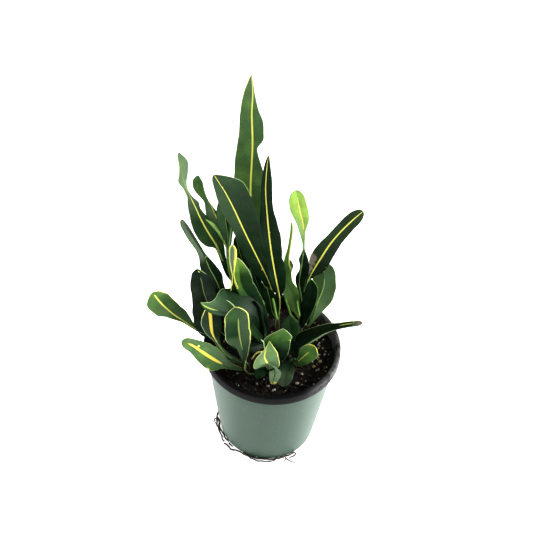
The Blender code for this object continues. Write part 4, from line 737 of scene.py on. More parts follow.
def bark_finish(settings):
    """Green-brown young bark with fine rings."""
    finish = Finish("stem_bark")
    run = finish.attribute("run")
    patch = finish.noise(finish.place(), 180, 3)
    ring = finish.step(run.pingpong(3.0), 0.1, 0.5)
    green = finish.mix(finish.step(run, 24, 60), settings.bark, settings.bright_green)
    colour = finish.mix(patch * 0.6, green, settings.bark)
    return finish.surface(colour, 0.6 + patch * 0.2, ring * 0.6 + patch * 0.8, 0.3 * MM)


def pot_finish(settings):
    """Satin green plastic with faint flow marks, and a painted pale sheen on its left and right sides."""
    finish = Finish("nursery_pot_green")
    place = finish.place()
    sideways = finish.node("ShaderNodeSeparateXYZ", {}, {0: place})
    cloud = finish.noise(place, 28, 3)
    speck = finish.noise(place, 420, 2)
    scuff = finish.step(finish.noise(place, 90, 4, 0.7), 0.6, 0.75)
    green = finish.mix(cloud, settings.green, [1.22 * c for c in settings.green])
    green = finish.mix(finish.step(speck, 0.62, 0.72) * 0.1, green, POT_SPECK)
    # Painted sheen: the left and right sides are made paler, as if lit from there.
    painted_side_sheen = finish.step(abs(sideways), 25 * MM, 66 * MM) * (cloud * 0.1 + 0.1)
    green = finish.mix(painted_side_sheen, green, POT_SIDE_SHEEN)
    roughness = 0.36 + cloud * 0.1 + scuff * 0.12
    relief = cloud * 0.4 + speck * 0.25
    return finish.surface(green, roughness, relief, 0.12 * MM, Specular_IOR_Level=0.28)


def pot_inside_finish(settings):
    """Dull black plastic of the inside and the lip, with dust, and a painted sheen on the lit right side
    where the dust lies thickest.
    """
    finish = Finish("nursery_pot_black")
    place = finish.place()
    sideways = finish.node("ShaderNodeSeparateXYZ", {}, {0: place})
    cloud = finish.noise(place, 60, 5, 0.7)
    fine = finish.noise(place, 300, 3)
    # Dust with painted sheen: the lip's right side, towards the brightest light, is made dusty grey.
    dust_and_sheen = finish.step(sideways, 30 * MM, 76 * MM) * finish.step(cloud, 0.3, 0.6) * 0.75
    dust_and_sheen = dust_and_sheen + finish.step(cloud, 0.5, 0.8) * 0.06 + finish.step(fine, 0.62, 0.72) * 0.06
    colour = finish.mix(dust_and_sheen, settings.black, settings.dust_and_sheen)
    relief = cloud * 0.4 + fine * 0.2
    return finish.surface(colour, 0.48 + dust_and_sheen * 0.4, relief, 0.12 * MM, Specular_IOR_Level=0.08)


def soil_finish(settings):
    """Damp peat: almost black, with lighter bark where the crumb's tint says so."""
    finish = Finish("peat_and_bark")
    place = finish.place()
    patch = finish.noise(place, 300, 4)
    fine = finish.noise(place, 1500, 3)
    colour = finish.mix(finish.attribute("tint"), settings.peat, settings.bark)
    colour = finish.mix(finish.step(patch, 0.45, 0.75) * 0.5, colour, [1.6 * c for c in settings.peat])
    return finish.surface(colour, 0.75 + fine * 0.2, patch * 0.7 + fine * 0.5, 0.5 * MM)


def perlite_finish(settings):
    """Chalky expanded grains, some stained tan or grey."""
    finish = Finish("perlite")
    pore = finish.noise(finish.place(), 1400, 3)
    colour = finish.ramp(finish.attribute("tint"), (0.0, settings.perlite), (0.5, GRAIN_TAN),
                         (0.75, GRAIN_GREY), (1.0, GRAIN_RUST))
    colour = finish.mix(finish.step(pore, 0.55, 0.75) * 0.5, colour, GRAIN_PORE)
    return finish.surface(colour, 0.9 + pore * 0.05, pore, 0.3 * MM)


def fibre_finish():
    """Dry straw."""
    finish = Finish("straw_fibre")
    patch = finish.noise(finish.place(), 600, 2)
    colour = finish.mix(finish.attribute("tint"), STRAW, OLD_STRAW)
    colour = finish.mix(patch * 0.4, colour, STRAW_PATCH)
    return finish.surface(colour, 0.75 + patch * 0.1, patch, 0.1 * MM)


def root_finish(settings):
    """Dry brown roots with earth on them."""
    finish = Finish("dry_root")
    place = finish.place()
    patch = finish.noise(place, 160, 4)
    fine = finish.noise(place, 900, 3)
    colour = finish.mix(finish.step(patch, 0.4, 0.65), settings.earth, settings.skin)
    colour = finish.mix(finish.step(fine, 0.62, 0.72) * 0.35, colour, ROOT_SPECK)
    return finish.surface(colour, 0.8 + fine * 0.1, fine, 0.3 * MM)


def floor_finish(settings):
    """Even white paper, lit from below so that it stays white."""
    finish = Finish("pale_floor")
    return finish.surface(PAPER, 0.9, Emission_Color=WHITE, Emission_Strength=settings.glow)


def deselect_all():
    if bpy.context.object and bpy.context.object.mode != "OBJECT":
        bpy.ops.object.mode_set(mode="OBJECT")
    bpy.ops.object.select_all(action="DESELECT")


def select_only(*pieces):
    deselect_all()
    for piece in pieces:
        piece.select_set(True)
    bpy.context.view_layer.objects.active = pieces[0]


def named(name, add, **how):
    """What an add operator makes, under a name of its own."""
    deselect_all()
    add(**how)
    made = bpy.context.object
    made.name = made.data.name = name
    return made


def grid_piece(name, points):
    """A grid with its points placed, in millimetres, given as rows along it of points across it."""
    rows, columns, _ = points.shape
    piece = named(name, bpy.ops.mesh.primitive_grid_add, x_subdivisions=columns - 1,
                  y_subdivisions=rows - 1, size=1)
    shape_points(piece, points.reshape(-1, 3) * MM)
    return piece


def shape_points(piece, points):
    """Move a piece's points, in metres."""
    piece.data.vertices.foreach_set("co", np.asarray(points, np.float32).ravel())
    piece.data.update()


def points_of(piece):
    found = np.zeros(len(piece.data.vertices) * 3, np.float32)
    piece.data.vertices.foreach_get("co", found)
    return found.reshape(-1, 3).astype(float)


def set_looks(piece, **looks):
    """Numbers for a piece's points, one for each or one for all, under names that its finish reads."""
    count = len(piece.data.vertices)
    for name, values in looks.items():
        held = piece.data.attributes.get(name) or piece.data.attributes.new(name, "FLOAT", "POINT")
        values = np.ravel(np.asarray(values, np.float32))
        held.data.foreach_set("value", np.broadcast_to(values, count).copy())


def apply_modifier(piece, kind, **settings):
    select_only(piece)
    made = piece.modifiers.new(kind.lower(), kind)
    for name, value in settings.items():
        setattr(made, name, value)
    bpy.ops.object.modifier_apply(modifier=made.name)


def roughen(piece, name, size, strength, depth=2, **how):
    """Push a piece's points in and out by clouds of noise."""
    clouds = bpy.data.textures.new(name, "CLOUDS")
    clouds.noise_scale = size
    clouds.noise_depth = depth
    apply_modifier(piece, "DISPLACE", texture=clouds, texture_coords="LOCAL", strength=strength,
                   mid_level=0.5, **how)


def join(name, pieces):
    select_only(*pieces)
    bpy.ops.object.join()
    made = bpy.context.object
    made.name = made.data.name = name
    return made


def smooth(piece, sharpest):
    """Shade a piece smooth, but for edges sharper than an angle in degrees."""
    select_only(piece)
    bpy.ops.object.shade_smooth_by_angle(angle=math.radians(sharpest))


def set_finishes(piece, *materials):
    piece.data.materials.clear()
    for material in materials:
        piece.data.materials.append(material)


def cubic(t, span, start, end, start_slope, end_slope):
    """A smooth step from start to end that leaves and arrives at the given slopes."""
    return ((2 * t**3 - 3 * t**2 + 1) * start + (t**3 - 2 * t**2 + t) * span * start_slope
            + (3 * t**2 - 2 * t**3) * end + (t**3 - t**2) * span * end_slope)


def run_along(line):
    """How far along a line each of its points lies."""
    return np.concatenate([[0], np.cumsum(np.linalg.norm(np.diff(line, axis=0), axis=1))])


def smooth_line(points, count=LINE_POINTS):
    """A smooth curve through the points, sampled evenly by length, with its length."""
    given = np.array(points, float)
    knots = np.concatenate([[0], np.cumsum(np.linalg.norm(np.diff(given, axis=0), axis=1) ** 0.5)])
    slopes = np.gradient(given, knots, axis=0, edge_order=2)
    t = np.linspace(0, 1, SPAN_POINTS)[:, None]
    dense = np.vstack([cubic(t, knots[i + 1] - knots[i], given[i], given[i + 1], slopes[i], slopes[i + 1])
                       for i in range(len(given) - 1)])
    run = run_along(dense)
    even = np.linspace(0, run[-1], count)
    return np.stack([np.interp(even, run, dense[:, k]) for k in range(3)], 1), run[-1]


def listed(look, shares):
    """A look's values at shares of the length: smooth, and level at turning points and past its ends."""
    if not isinstance(look, dict):
        return np.full(len(shares), float(look))
    values = list(look.values())
    rows = {0: values[0], **look, 100: look.get(100, values[-1])}
    x = np.array(list(rows), float) / 100
    y = np.array(list(rows.values()), float)
    steps = np.diff(x)
    slopes = np.diff(y) / steps
    bends = np.zeros(len(x))
    bends[0], bends[-1] = slopes[0], slopes[-1]
    for i in range(1, len(x) - 1):
        if slopes[i - 1] * slopes[i] > 0:
            before = 2 * steps[i] + steps[i - 1]
            after = steps[i] + 2 * steps[i - 1]
            bends[i] = (before + after) / (before / slopes[i - 1] + after / slopes[i])
    i = np.clip(np.searchsorted(x, shares) - 1, 0, len(x) - 2)
    t = np.clip((shares - x[i]) / steps[i], 0, 1)
    return cubic(t, steps[i], y[i], y[i + 1], bends[i], bends[i + 1])


def direction(azimuth, elevation):
    azimuth, elevation = math.radians(azimuth), math.radians(elevation)
    return np.array([math.cos(azimuth) * math.cos(elevation), math.sin(azimuth) * math.cos(elevation),
                     math.sin(elevation)])


def unit(vectors):
    return vectors / np.linalg.norm(vectors, axis=-1, keepdims=True)


def line_frame(line, shares, faces):
    """Centres, upward normals and sideways directions along a line, for a leaf that faces as listed."""
    last = len(line) - 1
    at = np.round(shares * last).astype(int)
    before, after = np.maximum(0, at - TANGENT_REACH), np.minimum(last, at + TANGENT_REACH)
    tangents = unit(line[after] - line[before])
    wanted = np.array([direction(*face) for face in faces])
    place = shares * (len(wanted) - 1)
    normals = np.stack([np.interp(place, np.arange(len(wanted)), wanted[:, k]) for k in range(3)], 1)
    normals = unit(normals - np.sum(normals * tangents, 1, keepdims=True) * tangents)
    return line[at], normals, np.cross(tangents, normals)


def wobble(draw, shares, size, waves):
    """Uneven ripples along a line, of about that height, with no step anywhere."""
    total = np.zeros(len(shares))
    for k in range(1, 4):
        total += np.sin(math.tau * (waves * k * 0.77 * shares + draw.random())) / k
    return total * size / 1.8


def blade_shares(blade, length, step):
    """Where the cross sections are: even along the blade, closer at its rounded tip."""
    tip = blade.tip / 100
    even = max(FEWEST_STATIONS, round(length * (1 - tip) / step))
    rounded = np.linspace(0, math.pi / 2, TIP_STATIONS + 1)[1:]
    return np.concatenate([np.linspace(0, 1 - tip, even), 1 - tip + tip * np.sin(rounded)])


def half_widths(blade, shares, rows):
    tip = blade.tip / 100
    rounding = np.sqrt(np.clip(1 - (np.maximum(0, shares - 1 + tip) / tip) ** 2, 0, 1))
    return np.maximum(listed(rows, shares) * rounding, NARROWEST_HALF_WIDTH)


def stalk_share(half_width):
    """1 where a leaf is as narrow as a stalk, and 0 where it is a full blade."""
    return np.clip(1.6 - half_width / 2.2, 0, 1)


def patches(spots, share_grid, across, length):
    """How near each point lies to the listed patches: 1 in the middle of one, 0 at its edge and beyond."""
    total = np.zeros(across.shape)
    for percent, sideways, radius in spots:
        away = np.hypot((share_grid - percent / 100) * length, across - sideways)
        total = np.maximum(total, 1 - np.clip(away / (radius * 1.6), 0, 1))
    return total


def band(distance, width):
    """How far a point lies from a coloured band's middle, as a share of the band's width."""
    return np.where(width > NO_BAND, distance / np.maximum(width, NO_BAND), FAR)


def pair(look):
    """The looks of the left and the right half."""
    return look if isinstance(look, tuple) else (look, look)


def over_halves(look, shares):
    """A look's values at every point of a blade."""
    left, right = (listed(side, shares) for side in pair(look))
    columns = len(HALF_COLUMNS)
    return np.stack([left] * columns + [(left + right) / 2] + [right] * columns, 1)


def blade_half(blade, side, shares, draw):
    """One half's points: across the blade, out from the midrib, up, and away from the rim and margin."""
    sign = (-1, 1)[side]
    fold, rim = (listed(pair(look)[side], shares)[:, None] for look in (blade.fold, blade.rim))
    widths = half_widths(blade, shares, (blade.left, blade.right)[side])
    widths = widths * (1 + wobble(draw, shares, UNEVEN_WIDTH, 9))
    ripple = blade.wave * np.sin(math.tau * (blade.waves * shares + 0.35 * side))
    ripple = ripple + wobble(draw, shares, MARGIN_RIPPLE, 7)
    ripple = ripple * np.minimum(1, widths / FULL_RIPPLE_WIDTH)
    rib_edge = np.minimum(MIDRIB_EDGE, widths * 0.5)
    columns = rib_edge[:, None] + (widths - rib_edge)[:, None] * np.array(HALF_COLUMNS)
    widths = widths[:, None]
    part = columns / widths
    crown = CROWN * widths * part * (1 - part)
    lift = columns * np.sin(np.radians(fold)) + ripple[:, None] * part**2 + crown
    from_margin = widths - columns
    out = sign * columns * np.cos(np.radians(fold))
    return np.stack([sign * columns, out, lift, band(from_margin, rim), from_margin])


def leaf_blade(stem_name, blade, settings):
    """The blade: a grid laid along the midrib, given its thickness and rounded margins."""
    draw = random.Random(stem_name + blade.name)
    line, length = smooth_line(blade.path)
    shares = blade_shares(blade, length, settings.station_step / MM)
    centres, normals, sideways = line_frame(line, shares, blade.faces)
    left, right = (blade_half(blade, side, shares, draw) for side in (0, 1))
    middle = np.zeros((5, len(shares), 1)) + np.array([0, 0, 0, FAR, FAR])[:, None, None]
    across, out, lift, from_rim, from_margin = np.concatenate([left[:, :, ::-1], middle, right], 2)
    points = centres[:, None] + sideways[:, None] * out[..., None] + normals[:, None] * lift[..., None]

    piece = grid_piece(f"{stem_name}_{blade.name}", points)
    share_grid = np.broadcast_to(shares[:, None], across.shape)
    stalk = stalk_share(np.abs(across).max(1))[:, None]
    set_looks(piece, across=across, run=share_grid * length, rim=from_rim, edge=from_margin,
              rib=band(np.abs(across), listed(blade.rib, shares)[:, None]),
              rim_tone=over_halves(blade.rim_tone, shares), youth=over_halves(blade.youth, shares),
              pale=over_halves(blade.pale, shares), gold=over_halves(blade.gold, shares),
              stalk=np.broadcast_to(stalk, across.shape), seed=draw.uniform(0, 900),
              spot=patches(blade.spots, share_grid, across, length),
              dry=patches(blade.dry, share_grid, across, length))
    count = len(piece.data.vertices)
    apply_modifier(piece, "SOLIDIFY", thickness=settings.thickness, offset=0)
    set_looks(piece, underside=np.arange(len(piece.data.vertices)) >= count)
    apply_modifier(piece, "SUBSURF", levels=1, render_levels=1)
    return piece


def tube(name, line, radii, sides, up=(0.0, 0.31, 0.95)):
    """A closed tube along a line, in millimetres: a grid wrapped round it, seam merged, ends filled."""
    tangents = unit(np.gradient(line, axis=0))
    across = unit(np.cross(tangents, np.array(up)))
    over = np.cross(across, tangents)
    angles = np.linspace(0, math.tau, sides + 1)[None, :, None]
    rings = np.cos(angles) * across[:, None] + np.sin(angles) * over[:, None]
    piece = grid_piece(name, line[:, None] + rings * np.asarray(radii)[:, None, None])
    set_looks(piece, run=np.repeat(run_along(line), sides + 1))
    select_only(piece)
    bpy.ops.object.mode_set(mode="EDIT")
    bpy.ops.mesh.select_all(action="SELECT")
    bpy.ops.mesh.remove_doubles(threshold=SEAM)
    bpy.ops.mesh.select_all(action="DESELECT")
    bpy.ops.mesh.select_non_manifold()
    bpy.ops.mesh.fill_holes(sides=sides)
    bpy.ops.mesh.select_all(action="SELECT")
    bpy.ops.mesh.normals_make_consistent(inside=False)
    bpy.ops.object.mode_set(mode="OBJECT")
    bpy.ops.object.shade_smooth()
    return piece


def leaf_rib(stem_name, blade, settings):
    """The leaf's stalk and the midrib under its blade, as one tapering rod."""
    draw = random.Random(blade.name)
    line, length = smooth_line(blade.path)
    shares = np.linspace(0, RIB_END, max(8, round(length / RIB_STEP)))
    centres, normals, _ = line_frame(line, shares, blade.faces)
    width = np.minimum(half_widths(blade, shares, blade.left), half_widths(blade, shares, blade.right))
    full = min(settings.rib_radius / MM, listed(blade.left, shares[:2])[1] * 0.95)
    radii = np.maximum(full * (1 - RIB_TAPER * shares**0.8), THINNEST_RIB)
    sink = np.clip((width - 1.5) / 4, 0, 1) * 0.55
    piece = tube(f"{stem_name}_{blade.name}_rib", centres - normals * (radii * sink)[:, None], radii, 8,
                 up=tuple(np.mean(normals, 0)))
    along = np.zeros(len(piece.data.vertices), np.float32)
    piece.data.attributes["run"].data.foreach_get("value", along)
    share = along / length
    youth, gold, rib = (np.interp(share, shares, listed(pair(look)[0], shares))
                        for look in (blade.youth, blade.gold, blade.rib))
    set_looks(piece, across=0, rib=np.where(rib > NO_BAND, 0, FAR), rim=FAR, edge=FAR, rim_tone=0,
              youth=youth, pale=0, gold=gold, stalk=np.interp(share, shares, stalk_share(width)), spot=0,
              dry=0, seed=draw.uniform(0, 900), underside=0.6)
    return piece


def stem_rod(name, stem):
    """The stem itself, a little thicker at each leaf scar."""
    line, length = smooth_line(stem.path)
    rows = line[:: max(1, round(len(line) * 1.5 / length))]
    foot, top = stem.radii
    share = np.linspace(0, 1, len(rows))
    from_scar = (share * length) % SCAR_STEP - SCAR_STEP / 2
    scars = 1 + SCAR_SWELL * np.exp(-((from_scar / SCAR_LENGTH) ** 2))
    return tube(name + "_rod", rows, (foot + (top - foot) * share) * scars, 12, up=(0, 1, 0))


def make_leafy_stem(name, stem, settings, leaf_material, bark_material):
    pieces = []
    for blade in stem.leaves:
        pieces += [leaf_blade(name, blade, settings), leaf_rib(name, blade, settings)]
    for piece in pieces:
        set_finishes(piece, leaf_material)
    rod = stem_rod(name, stem)
    set_finishes(rod, bark_material)
    made = join(name + "_foliage", [*pieces, rod])
    smooth(made, 60)
    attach(made, "root")
    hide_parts(name)


def turned_piece(name, profile, sides, closed=True):
    """A round piece drawn ring by ring along an outline of (radius, height) points.

    The last ring is filled, and the first one too when the piece is closed.
    """
    first_radius, first_level = profile[0]
    piece = named(name, bpy.ops.mesh.primitive_circle_add, vertices=sides, radius=first_radius,
                  location=(0, 0, first_level), fill_type="NOTHING")
    bpy.ops.object.transform_apply(location=True)
    bpy.ops.object.mode_set(mode="EDIT")
    bpy.ops.mesh.select_all(action="SELECT")
    for (radius, level), (next_radius, next_level) in zip(profile, profile[1:]):
        bpy.ops.mesh.extrude_region_move(TRANSFORM_OT_translate={"value": (0, 0, next_level - level)})
        grow = next_radius / radius
        bpy.ops.transform.resize(value=(grow, grow, 1), center_override=(0, 0, next_level))
    bpy.ops.mesh.edge_face_add()
    if closed:
        bpy.ops.mesh.select_all(action="DESELECT")
        bpy.ops.mesh.select_non_manifold()
        bpy.ops.mesh.edge_face_add()
    bpy.ops.mesh.select_all(action="SELECT")
    bpy.ops.mesh.normals_make_consistent(inside=False)
    bpy.ops.object.mode_set(mode="OBJECT")
    return piece


def wall_radius(height):
    """Outer radius of the pot's tapered wall at a height."""
    top_radius = POT_RIM_RADIUS - LIP_OVERHANG
    return POT_FOOT_RADIUS + (top_radius - POT_FOOT_RADIUS) * height / (POT_HEIGHT - LIP_HEIGHT)


def arc(centre_radius, centre_level, radius, first, last, count=5):
    """Points of an outline's round corner, between two angles in degrees."""
    angles = np.radians(np.linspace(first, last, count))
    return [(centre_radius + radius * math.cos(a), centre_level + radius * math.sin(a)) for a in angles]


def pot_profile():
    """The pot's outline, up its outside, over the rolled lip and down its inside."""
    lip_bottom = POT_HEIGHT - LIP_HEIGHT
    lip_floor = POT_HEIGHT - 3.4 * MM
    lip_inside = POT_RIM_RADIUS - LIP_WALL
    wall_top = wall_radius(lip_bottom)
    inner_top = wall_top - POT_WALL
    heights = [lip_bottom * k / 6 for k in range(1, 6)]
    return [
        (POLE, 0.0), (15 * MM, 0.0), (15.8 * MM, 0.3 * MM), (16.2 * MM, FOOT_GROOVE),
        (36.8 * MM, FOOT_GROOVE), (37.6 * MM, 0.3 * MM), (38.2 * MM, 0.0), (50 * MM, 0.0),
        *arc(wall_radius(0) - CORNER, CORNER, CORNER, -90, 0, 7),
        *[(wall_radius(z), z) for z in heights],
        (wall_top, lip_bottom), (wall_top, lip_floor),
        (lip_inside, lip_floor), (lip_inside, lip_bottom + 0.6 * MM),
        *arc(POT_RIM_RADIUS - LIP_WALL / 2, lip_bottom + 0.75 * MM, LIP_WALL / 2, 180, 360, 7),
        (POT_RIM_RADIUS - 0.15 * MM, lip_bottom + LIP_HEIGHT * 0.5),
        *arc(POT_RIM_RADIUS - 0.3 * MM - LIP_ROLL, POT_HEIGHT - LIP_ROLL, LIP_ROLL, 0, 90, 6),
        *arc(inner_top + LIP_ROLL, POT_HEIGHT - LIP_ROLL, LIP_ROLL, 100, 175, 6),
        (inner_top, lip_bottom - 2 * MM),
        *[(wall_radius(z) - POT_WALL, z) for z in reversed(heights)],
        *arc(wall_radius(0) - POT_WALL - CORNER, FLOOR_THICKNESS + CORNER, CORNER, 0, -90, 5),
        (POLE, FLOOR_THICKNESS),
    ]


def make_pot(settings):
    pot = turned_piece("nursery_pot", pot_profile(), settings.sides)
    cutters = []
    for i in range(DRAIN_HOLES):
        angle = math.tau * (i + 0.5) / DRAIN_HOLES
        place = (DRAIN_HOLE_FROM_CENTRE * math.cos(angle), DRAIN_HOLE_FROM_CENTRE * math.sin(angle), 0)
        cutters.append(named(f"drain_cutter_{i}", bpy.ops.mesh.primitive_cylinder_add, vertices=32,
                             radius=DRAIN_HOLE_RADIUS, depth=16 * MM, location=place))
    cutter = join("drain_cutter", cutters)
    apply_modifier(pot, "BOOLEAN", operation="DIFFERENCE", object=cutter, solver="EXACT")
    bpy.data.objects.remove(cutter, do_unlink=True)
    smooth(pot, 38)
    set_finishes(pot, pot_finish(settings), pot_inside_finish(settings))
    for face in pot.data.polygons:
        x, y, z = face.center
        inside = math.hypot(x, y) < wall_radius(z) - POT_WALL / 2 and z > FLOOR_THICKNESS / 2
        face.material_index = int(inside or z > POT_HEIGHT - LIP_HEIGHT - 0.2 * MM)
    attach(pot, "root")
    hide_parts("pot")


def soil_level(x, y):
    """Level of the soil's surface: a low mound with lumps, in metres."""
    radius = np.hypot(x, y) / POT_RIM_RADIUS
    mound = SOIL_MOUND * (1 - np.minimum(1, radius) ** 2)
    lumps = (np.sin(310 * x + 1.3) * np.cos(270 * y) + 0.7 * np.sin(610 * x - 480 * y)
             + 0.5 * np.cos(850 * y + 390 * x))
    return SOIL_EDGE_LEVEL + mound + SOIL_LUMP * lumps


def soil_reach(clearance):
    """How far from the middle the soil goes, short of the wall by a clearance."""
    return wall_radius(SOIL_EDGE_LEVEL) - POT_WALL - clearance


def make_soil_bed(material):
    """The plug of soil, its top raised by soil_level and roughened."""
    edge = soil_reach(0.2 * MM)
    middle = SOIL_EDGE_LEVEL / 2
    profile = [
        (1 * MM, FLOOR_THICKNESS + 0.3 * MM), (50 * MM, FLOOR_THICKNESS + 0.3 * MM),
        (wall_radius(3 * MM) - POT_WALL - 0.6 * MM, FLOOR_THICKNESS + 3.5 * MM),
        (wall_radius(middle) - POT_WALL - 0.3 * MM, middle),
    ]
    top_rings = [(edge * (1 - k / SOIL_RINGS), SOIL_EDGE_LEVEL) for k in range(SOIL_RINGS)]
    bed = turned_piece("soil_bed", profile + top_rings, SOIL_SIDES)
    points = points_of(bed)
    top = points[:, 2] > SOIL_EDGE_LEVEL - 1e-6
    points[top, 2] = soil_level(points[top, 0], points[top, 1])
    shape_points(bed, points)
    bed.vertex_groups.new(name="top").add(np.nonzero(top)[0].tolist(), 1.0, "REPLACE")
    for size, strength in SOIL_CLODS:
        roughen(bed, f"clods_{size:.4f}", size, strength, depth=3, direction="Z", vertex_group="top")
    smooth(bed, 70)
    set_looks(bed, tint=0)
    set_finishes(bed, material)
    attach(bed, "root")
    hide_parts("soil")


def lump_shapes(prefix, count, subdivisions, roughness):
    """Points and faces of a few uneven lumps of length 1, each a sphere pushed in and out."""
    shapes = []
    for i in range(count):
        lump = named(f"{prefix}_{i}", bpy.ops.mesh.primitive_ico_sphere_add, subdivisions=subdivisions,
                     radius=0.5)
        roughen(lump, f"{prefix}_{i}", 0.35 + 0.12 * i, roughness)
        shapes.append((points_of(lump), [tuple(face.vertices) for face in lump.data.polygons]))
        bpy.data.objects.remove(lump, do_unlink=True)
    return shapes


def scatter(name, shapes, places, draw, material):
    """Copies of the shapes as one mesh. A place is x, y, level, length, breadth, height, tint."""
    points, faces, tints = [], [], []
    count = 0
    for x, y, level, length, breadth, height, tint in places:
        corners, sides = draw.choice(shapes)
        turn = Matrix.Rotation(draw.uniform(0, math.tau), 3, "Z")
        for axis in "XY":
            turn = turn @ Matrix.Rotation(draw.gauss(0, 0.35), 3, axis)
        points.append((corners * (length, breadth, height)) @ np.array(turn).T + (x, y, level))
        faces += [tuple(corner + count for corner in side) for side in sides]
        tints.append(np.full(len(corners), tint))
        count += len(corners)
    mesh = bpy.data.meshes.new(name)
    mesh.from_pydata(np.vstack(points), [], faces)
    piece = bpy.data.objects.new(name, mesh)
    bpy.context.collection.objects.link(piece)
    set_looks(piece, tint=np.concatenate(tints))
    set_finishes(piece, material)
    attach(piece, "root")
    return piece


def on_soil(draw, reach):
    """A place on the soil at random, evenly over its disc."""
    radius = reach * math.sqrt(draw.random())
    angle = draw.uniform(0, math.tau)
    x, y = radius * math.cos(angle), radius * math.sin(angle)
    return x, y, float(soil_level(x, y))


def make_crumbs(settings, material):
    draw = random.Random(11)
    places = []
    for _ in range(settings.crumbs):
        length = min(LARGEST_CRUMB, SMALLEST_CRUMB + draw.expovariate(0.75) * MM)
        x, y, level = on_soil(draw, soil_reach(0.6 * length + 0.4 * MM))
        tint = draw.random() ** 2.2
        places.append((x, y, level + 0.25 * length, length, length * draw.uniform(0.45, 0.8),
                       length * draw.uniform(0.3, 0.6), tint))
    scatter("soil_crumbs", lump_shapes("crumb", 5, 2, 0.55), places, draw, material)


def make_perlite(settings, material):
    draw = random.Random(5)
    places = []
    for x, y, length, tint in NEAR_GRAINS:
        x, y, length = x * MM, y * MM, length * MM
        level = float(soil_level(x, y)) + 1.4 * MM
        places.append((x, y, level, length, length * 0.8, length * 0.72, tint))
    for _ in range(settings.grains):
        length = (0.8 + 2.2 * draw.random() ** 2) * MM
        x, y, level = on_soil(draw, soil_reach(3 * MM))
        tint = draw.choice((0, 0.1, 0.4, 0.7))
        places.append((x, y, level + 1.0 * MM, length, length * 0.85, length * 0.75, tint))
    grains = scatter("perlite_grains", lump_shapes("grain", 4, 3, 0.4), places, draw, material)
    select_only(grains)
    bpy.ops.object.shade_smooth()


def make_fibres(settings, material):
    draw = random.Random(23)
    places = []
    for _ in range(settings.fibres):
        x, y, level = on_soil(draw, soil_reach(6 * MM))
        length = draw.uniform(3, 10) * MM
        places.append((x, y, level + 1.6 * MM, length, 0.5 * MM, 0.45 * MM, draw.random()))
    scatter("straw_fibres", lump_shapes("fibre", 3, 2, 0.25), places, draw, material)


def make_roots(settings, material):
    """The root strands on the ground, a little crooked, with fine side roots."""
    draw = random.Random(3)
    pieces = []
    for number, (path, radius) in enumerate(ROOTS):
        line, length = smooth_line(path)
        rows = line[:: max(1, round(len(line) * 1.2 / length))].copy()
        share = np.linspace(0, 1, len(rows))
        for axis, size, wave_length in ((0, 0.5, 16), (1, 0.5, 13), (2, 0.12, 9)):
            rows[:, axis] += wobble(draw, share, size, length / wave_length)
        radii = radius * settings.thickness * (1 - 0.35 * share)
        radii = radii * (1 + wobble(draw, share, 0.12, length / 6))
        pieces.append(tube(f"root_{number}", rows, np.minimum(radii, rows[:, 2]), 8))
        for _ in range(int(length / 22)):
            start = rows[draw.randrange(len(rows))]
            heading = draw.uniform(0, math.tau)
            ahead = np.array([math.cos(heading), math.sin(heading), 0]) * draw.uniform(4, 9)
            bend = np.array([-ahead[1], ahead[0], 0]) * draw.uniform(-0.5, 0.5)
            hair, _ = smooth_line([start, start + ahead * 0.5 + bend * 0.6, start + ahead + bend], 12)
            hair[:, 2] = np.clip(hair[:, 2], 0.35, 1.2)
            pieces.append(tube(f"root_hair_{number}", hair, np.linspace(0.28, 0.14, len(hair)), 5))
    roots = join("root_strands", pieces)
    set_finishes(roots, material)
    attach(roots, "root")
    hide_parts("escaped_roots")


def make_camera(settings):
    tilt, roll = math.radians(90 - VIEW_ELEVATION), math.radians(VIEW_ROLL)
    turn = Matrix.Rotation(tilt, 4, "X") @ Matrix.Rotation(roll, 4, "Z")
    ahead = turn @ Vector((0, 0, -1))
    camera = named("photo_camera", bpy.ops.object.camera_add)
    camera.matrix_world = Matrix.Translation(Vector(VIEW_AIM) - ahead * VIEW_DISTANCE) @ turn
    camera.data.lens = settings.lens
    camera.data.sensor_width = SENSOR
    camera.data.clip_end = 60
    bpy.context.scene.camera = camera


def make_soft_box(name, azimuth, elevation, distance, size, power):
    """A square soft light that looks at the plant from a direction round it."""
    away = Vector(direction(azimuth, elevation))
    light = named(name, bpy.ops.object.light_add, type="AREA",
                  location=Vector(PLANT_MIDDLE) + away * distance)
    light.rotation_euler = away.to_track_quat("Z", "Y").to_euler()
    light.data.size = size
    light.data.energy = power
    light.visible_camera = False


def make_floor(settings):
    """A wide pale floor with its edge turned up far away, so that no horizon shows."""
    radius = settings.floor_radius
    turn_up = radius * 0.15
    profile = [*arc(radius - turn_up, turn_up, turn_up, 0, -90, 9), (1, 0), (0.05, 0)]
    floor = turned_piece("stage_floor", profile, 64, closed=False)
    set_finishes(floor, floor_finish(settings))


class CROTON_OT_leafy_stems(bpy.types.Operator):
    """Model every leafy stem with its leaves"""

    bl_idname = "croton.leafy_stems"
    bl_label = "Leafy Stems"
    bl_options = {"REGISTER", "UNDO"}

    def execute(self, context):
        settings = context.scene.croton_leaves
        finishes = leaf_finish(settings), bark_finish(settings)
        for name, stem in STEMS.items():
            make_leafy_stem(name, stem, settings, *finishes)
        return {"FINISHED"}


class CROTON_OT_pot(bpy.types.Operator):
    """Model the nursery pot"""

    bl_idname = "croton.pot"
    bl_label = "Pot"
    bl_options = {"REGISTER", "UNDO"}

    def execute(self, context):
        make_pot(context.scene.croton_pot)
        return {"FINISHED"}


class CROTON_OT_soil(bpy.types.Operator):
    """Fill the pot with soil, crumbs, perlite and fibres"""

    bl_idname = "croton.soil"
    bl_label = "Soil"
    bl_options = {"REGISTER", "UNDO"}

    def execute(self, context):
        settings = context.scene.croton_soil
        peat = soil_finish(settings)
        make_soil_bed(peat)
        make_crumbs(settings, peat)
        make_perlite(settings, perlite_finish(settings))
        make_fibres(settings, fibre_finish())
        return {"FINISHED"}


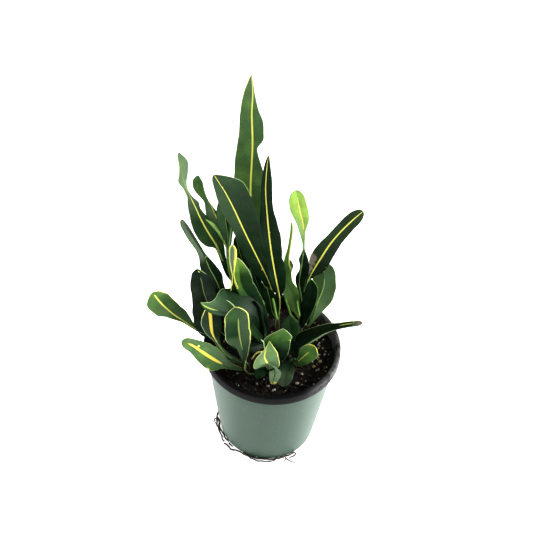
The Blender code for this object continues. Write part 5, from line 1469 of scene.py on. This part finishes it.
class CROTON_OT_roots(bpy.types.Operator):
    """Lay the escaped roots round the pot's foot"""

    bl_idname = "croton.roots"
    bl_label = "Escaped Roots"
    bl_options = {"REGISTER", "UNDO"}

    def execute(self, context):
        settings = context.scene.croton_roots
        make_roots(settings, root_finish(settings))
        return {"FINISHED"}


class CROTON_OT_stage(bpy.types.Operator):
    """Set up the floor, the light and the camera"""

    bl_idname = "croton.stage"
    bl_label = "Stage"
    bl_options = {"REGISTER", "UNDO"}

    def execute(self, context):
        settings = context.scene.croton_stage
        make_floor(settings)
        for name, (azimuth, elevation, distance, size, share) in SOFT_BOXES.items():
            make_soft_box(name, azimuth, elevation, distance, size, settings.key * share)
        world = bpy.data.worlds.new("soft_room")
        world.use_nodes = True
        background = world.node_tree.nodes["Background"].inputs
        background["Color"].default_value = WHITE
        background["Strength"].default_value = settings.sky
        context.scene.world = world
        context.scene.view_settings.view_transform = "Standard"
        context.scene.view_settings.look = "Medium High Contrast"
        make_camera(settings)
        return {"FINISHED"}


# Each settings group under its name in the scene, with the operator that reads it
GROUPS = {
    "croton_leaves": (LeafSettings, CROTON_OT_leafy_stems),
    "croton_pot": (PotSettings, CROTON_OT_pot),
    "croton_soil": (SoilSettings, CROTON_OT_soil),
    "croton_roots": (RootSettings, CROTON_OT_roots),
    "croton_stage": (StageSettings, CROTON_OT_stage),
}


class CROTON_PT_panel(bpy.types.Panel):
    """Buttons for each piece of the plant"""

    bl_label = "Potted Croton"
    bl_idname = "CROTON_PT_panel"
    bl_space_type = "VIEW_3D"
    bl_region_type = "UI"
    bl_category = "Croton"

    def draw(self, context):
        for name, (group, operator) in GROUPS.items():
            box = self.layout.box()
            for field in group.__annotations__:
                box.prop(getattr(context.scene, name), field)
            box.operator(operator.bl_idname)


CLASSES = [made for both in GROUPS.values() for made in both] + [CROTON_PT_panel]


def register():
    for made in CLASSES:
        bpy.utils.register_class(made)
    for name, (group, _) in GROUPS.items():
        setattr(bpy.types.Scene, name, PointerProperty(type=group))


def unregister():
    for name in GROUPS:
        delattr(bpy.types.Scene, name)
    for made in reversed(CLASSES):
        bpy.utils.unregister_class(made)


def main():
    register()
    bpy.ops.croton.pot()
    bpy.ops.croton.soil()
    bpy.ops.croton.leafy_stems()
    bpy.ops.croton.roots()
    bpy.ops.croton.stage()


if __name__ == "__main__":
    main()
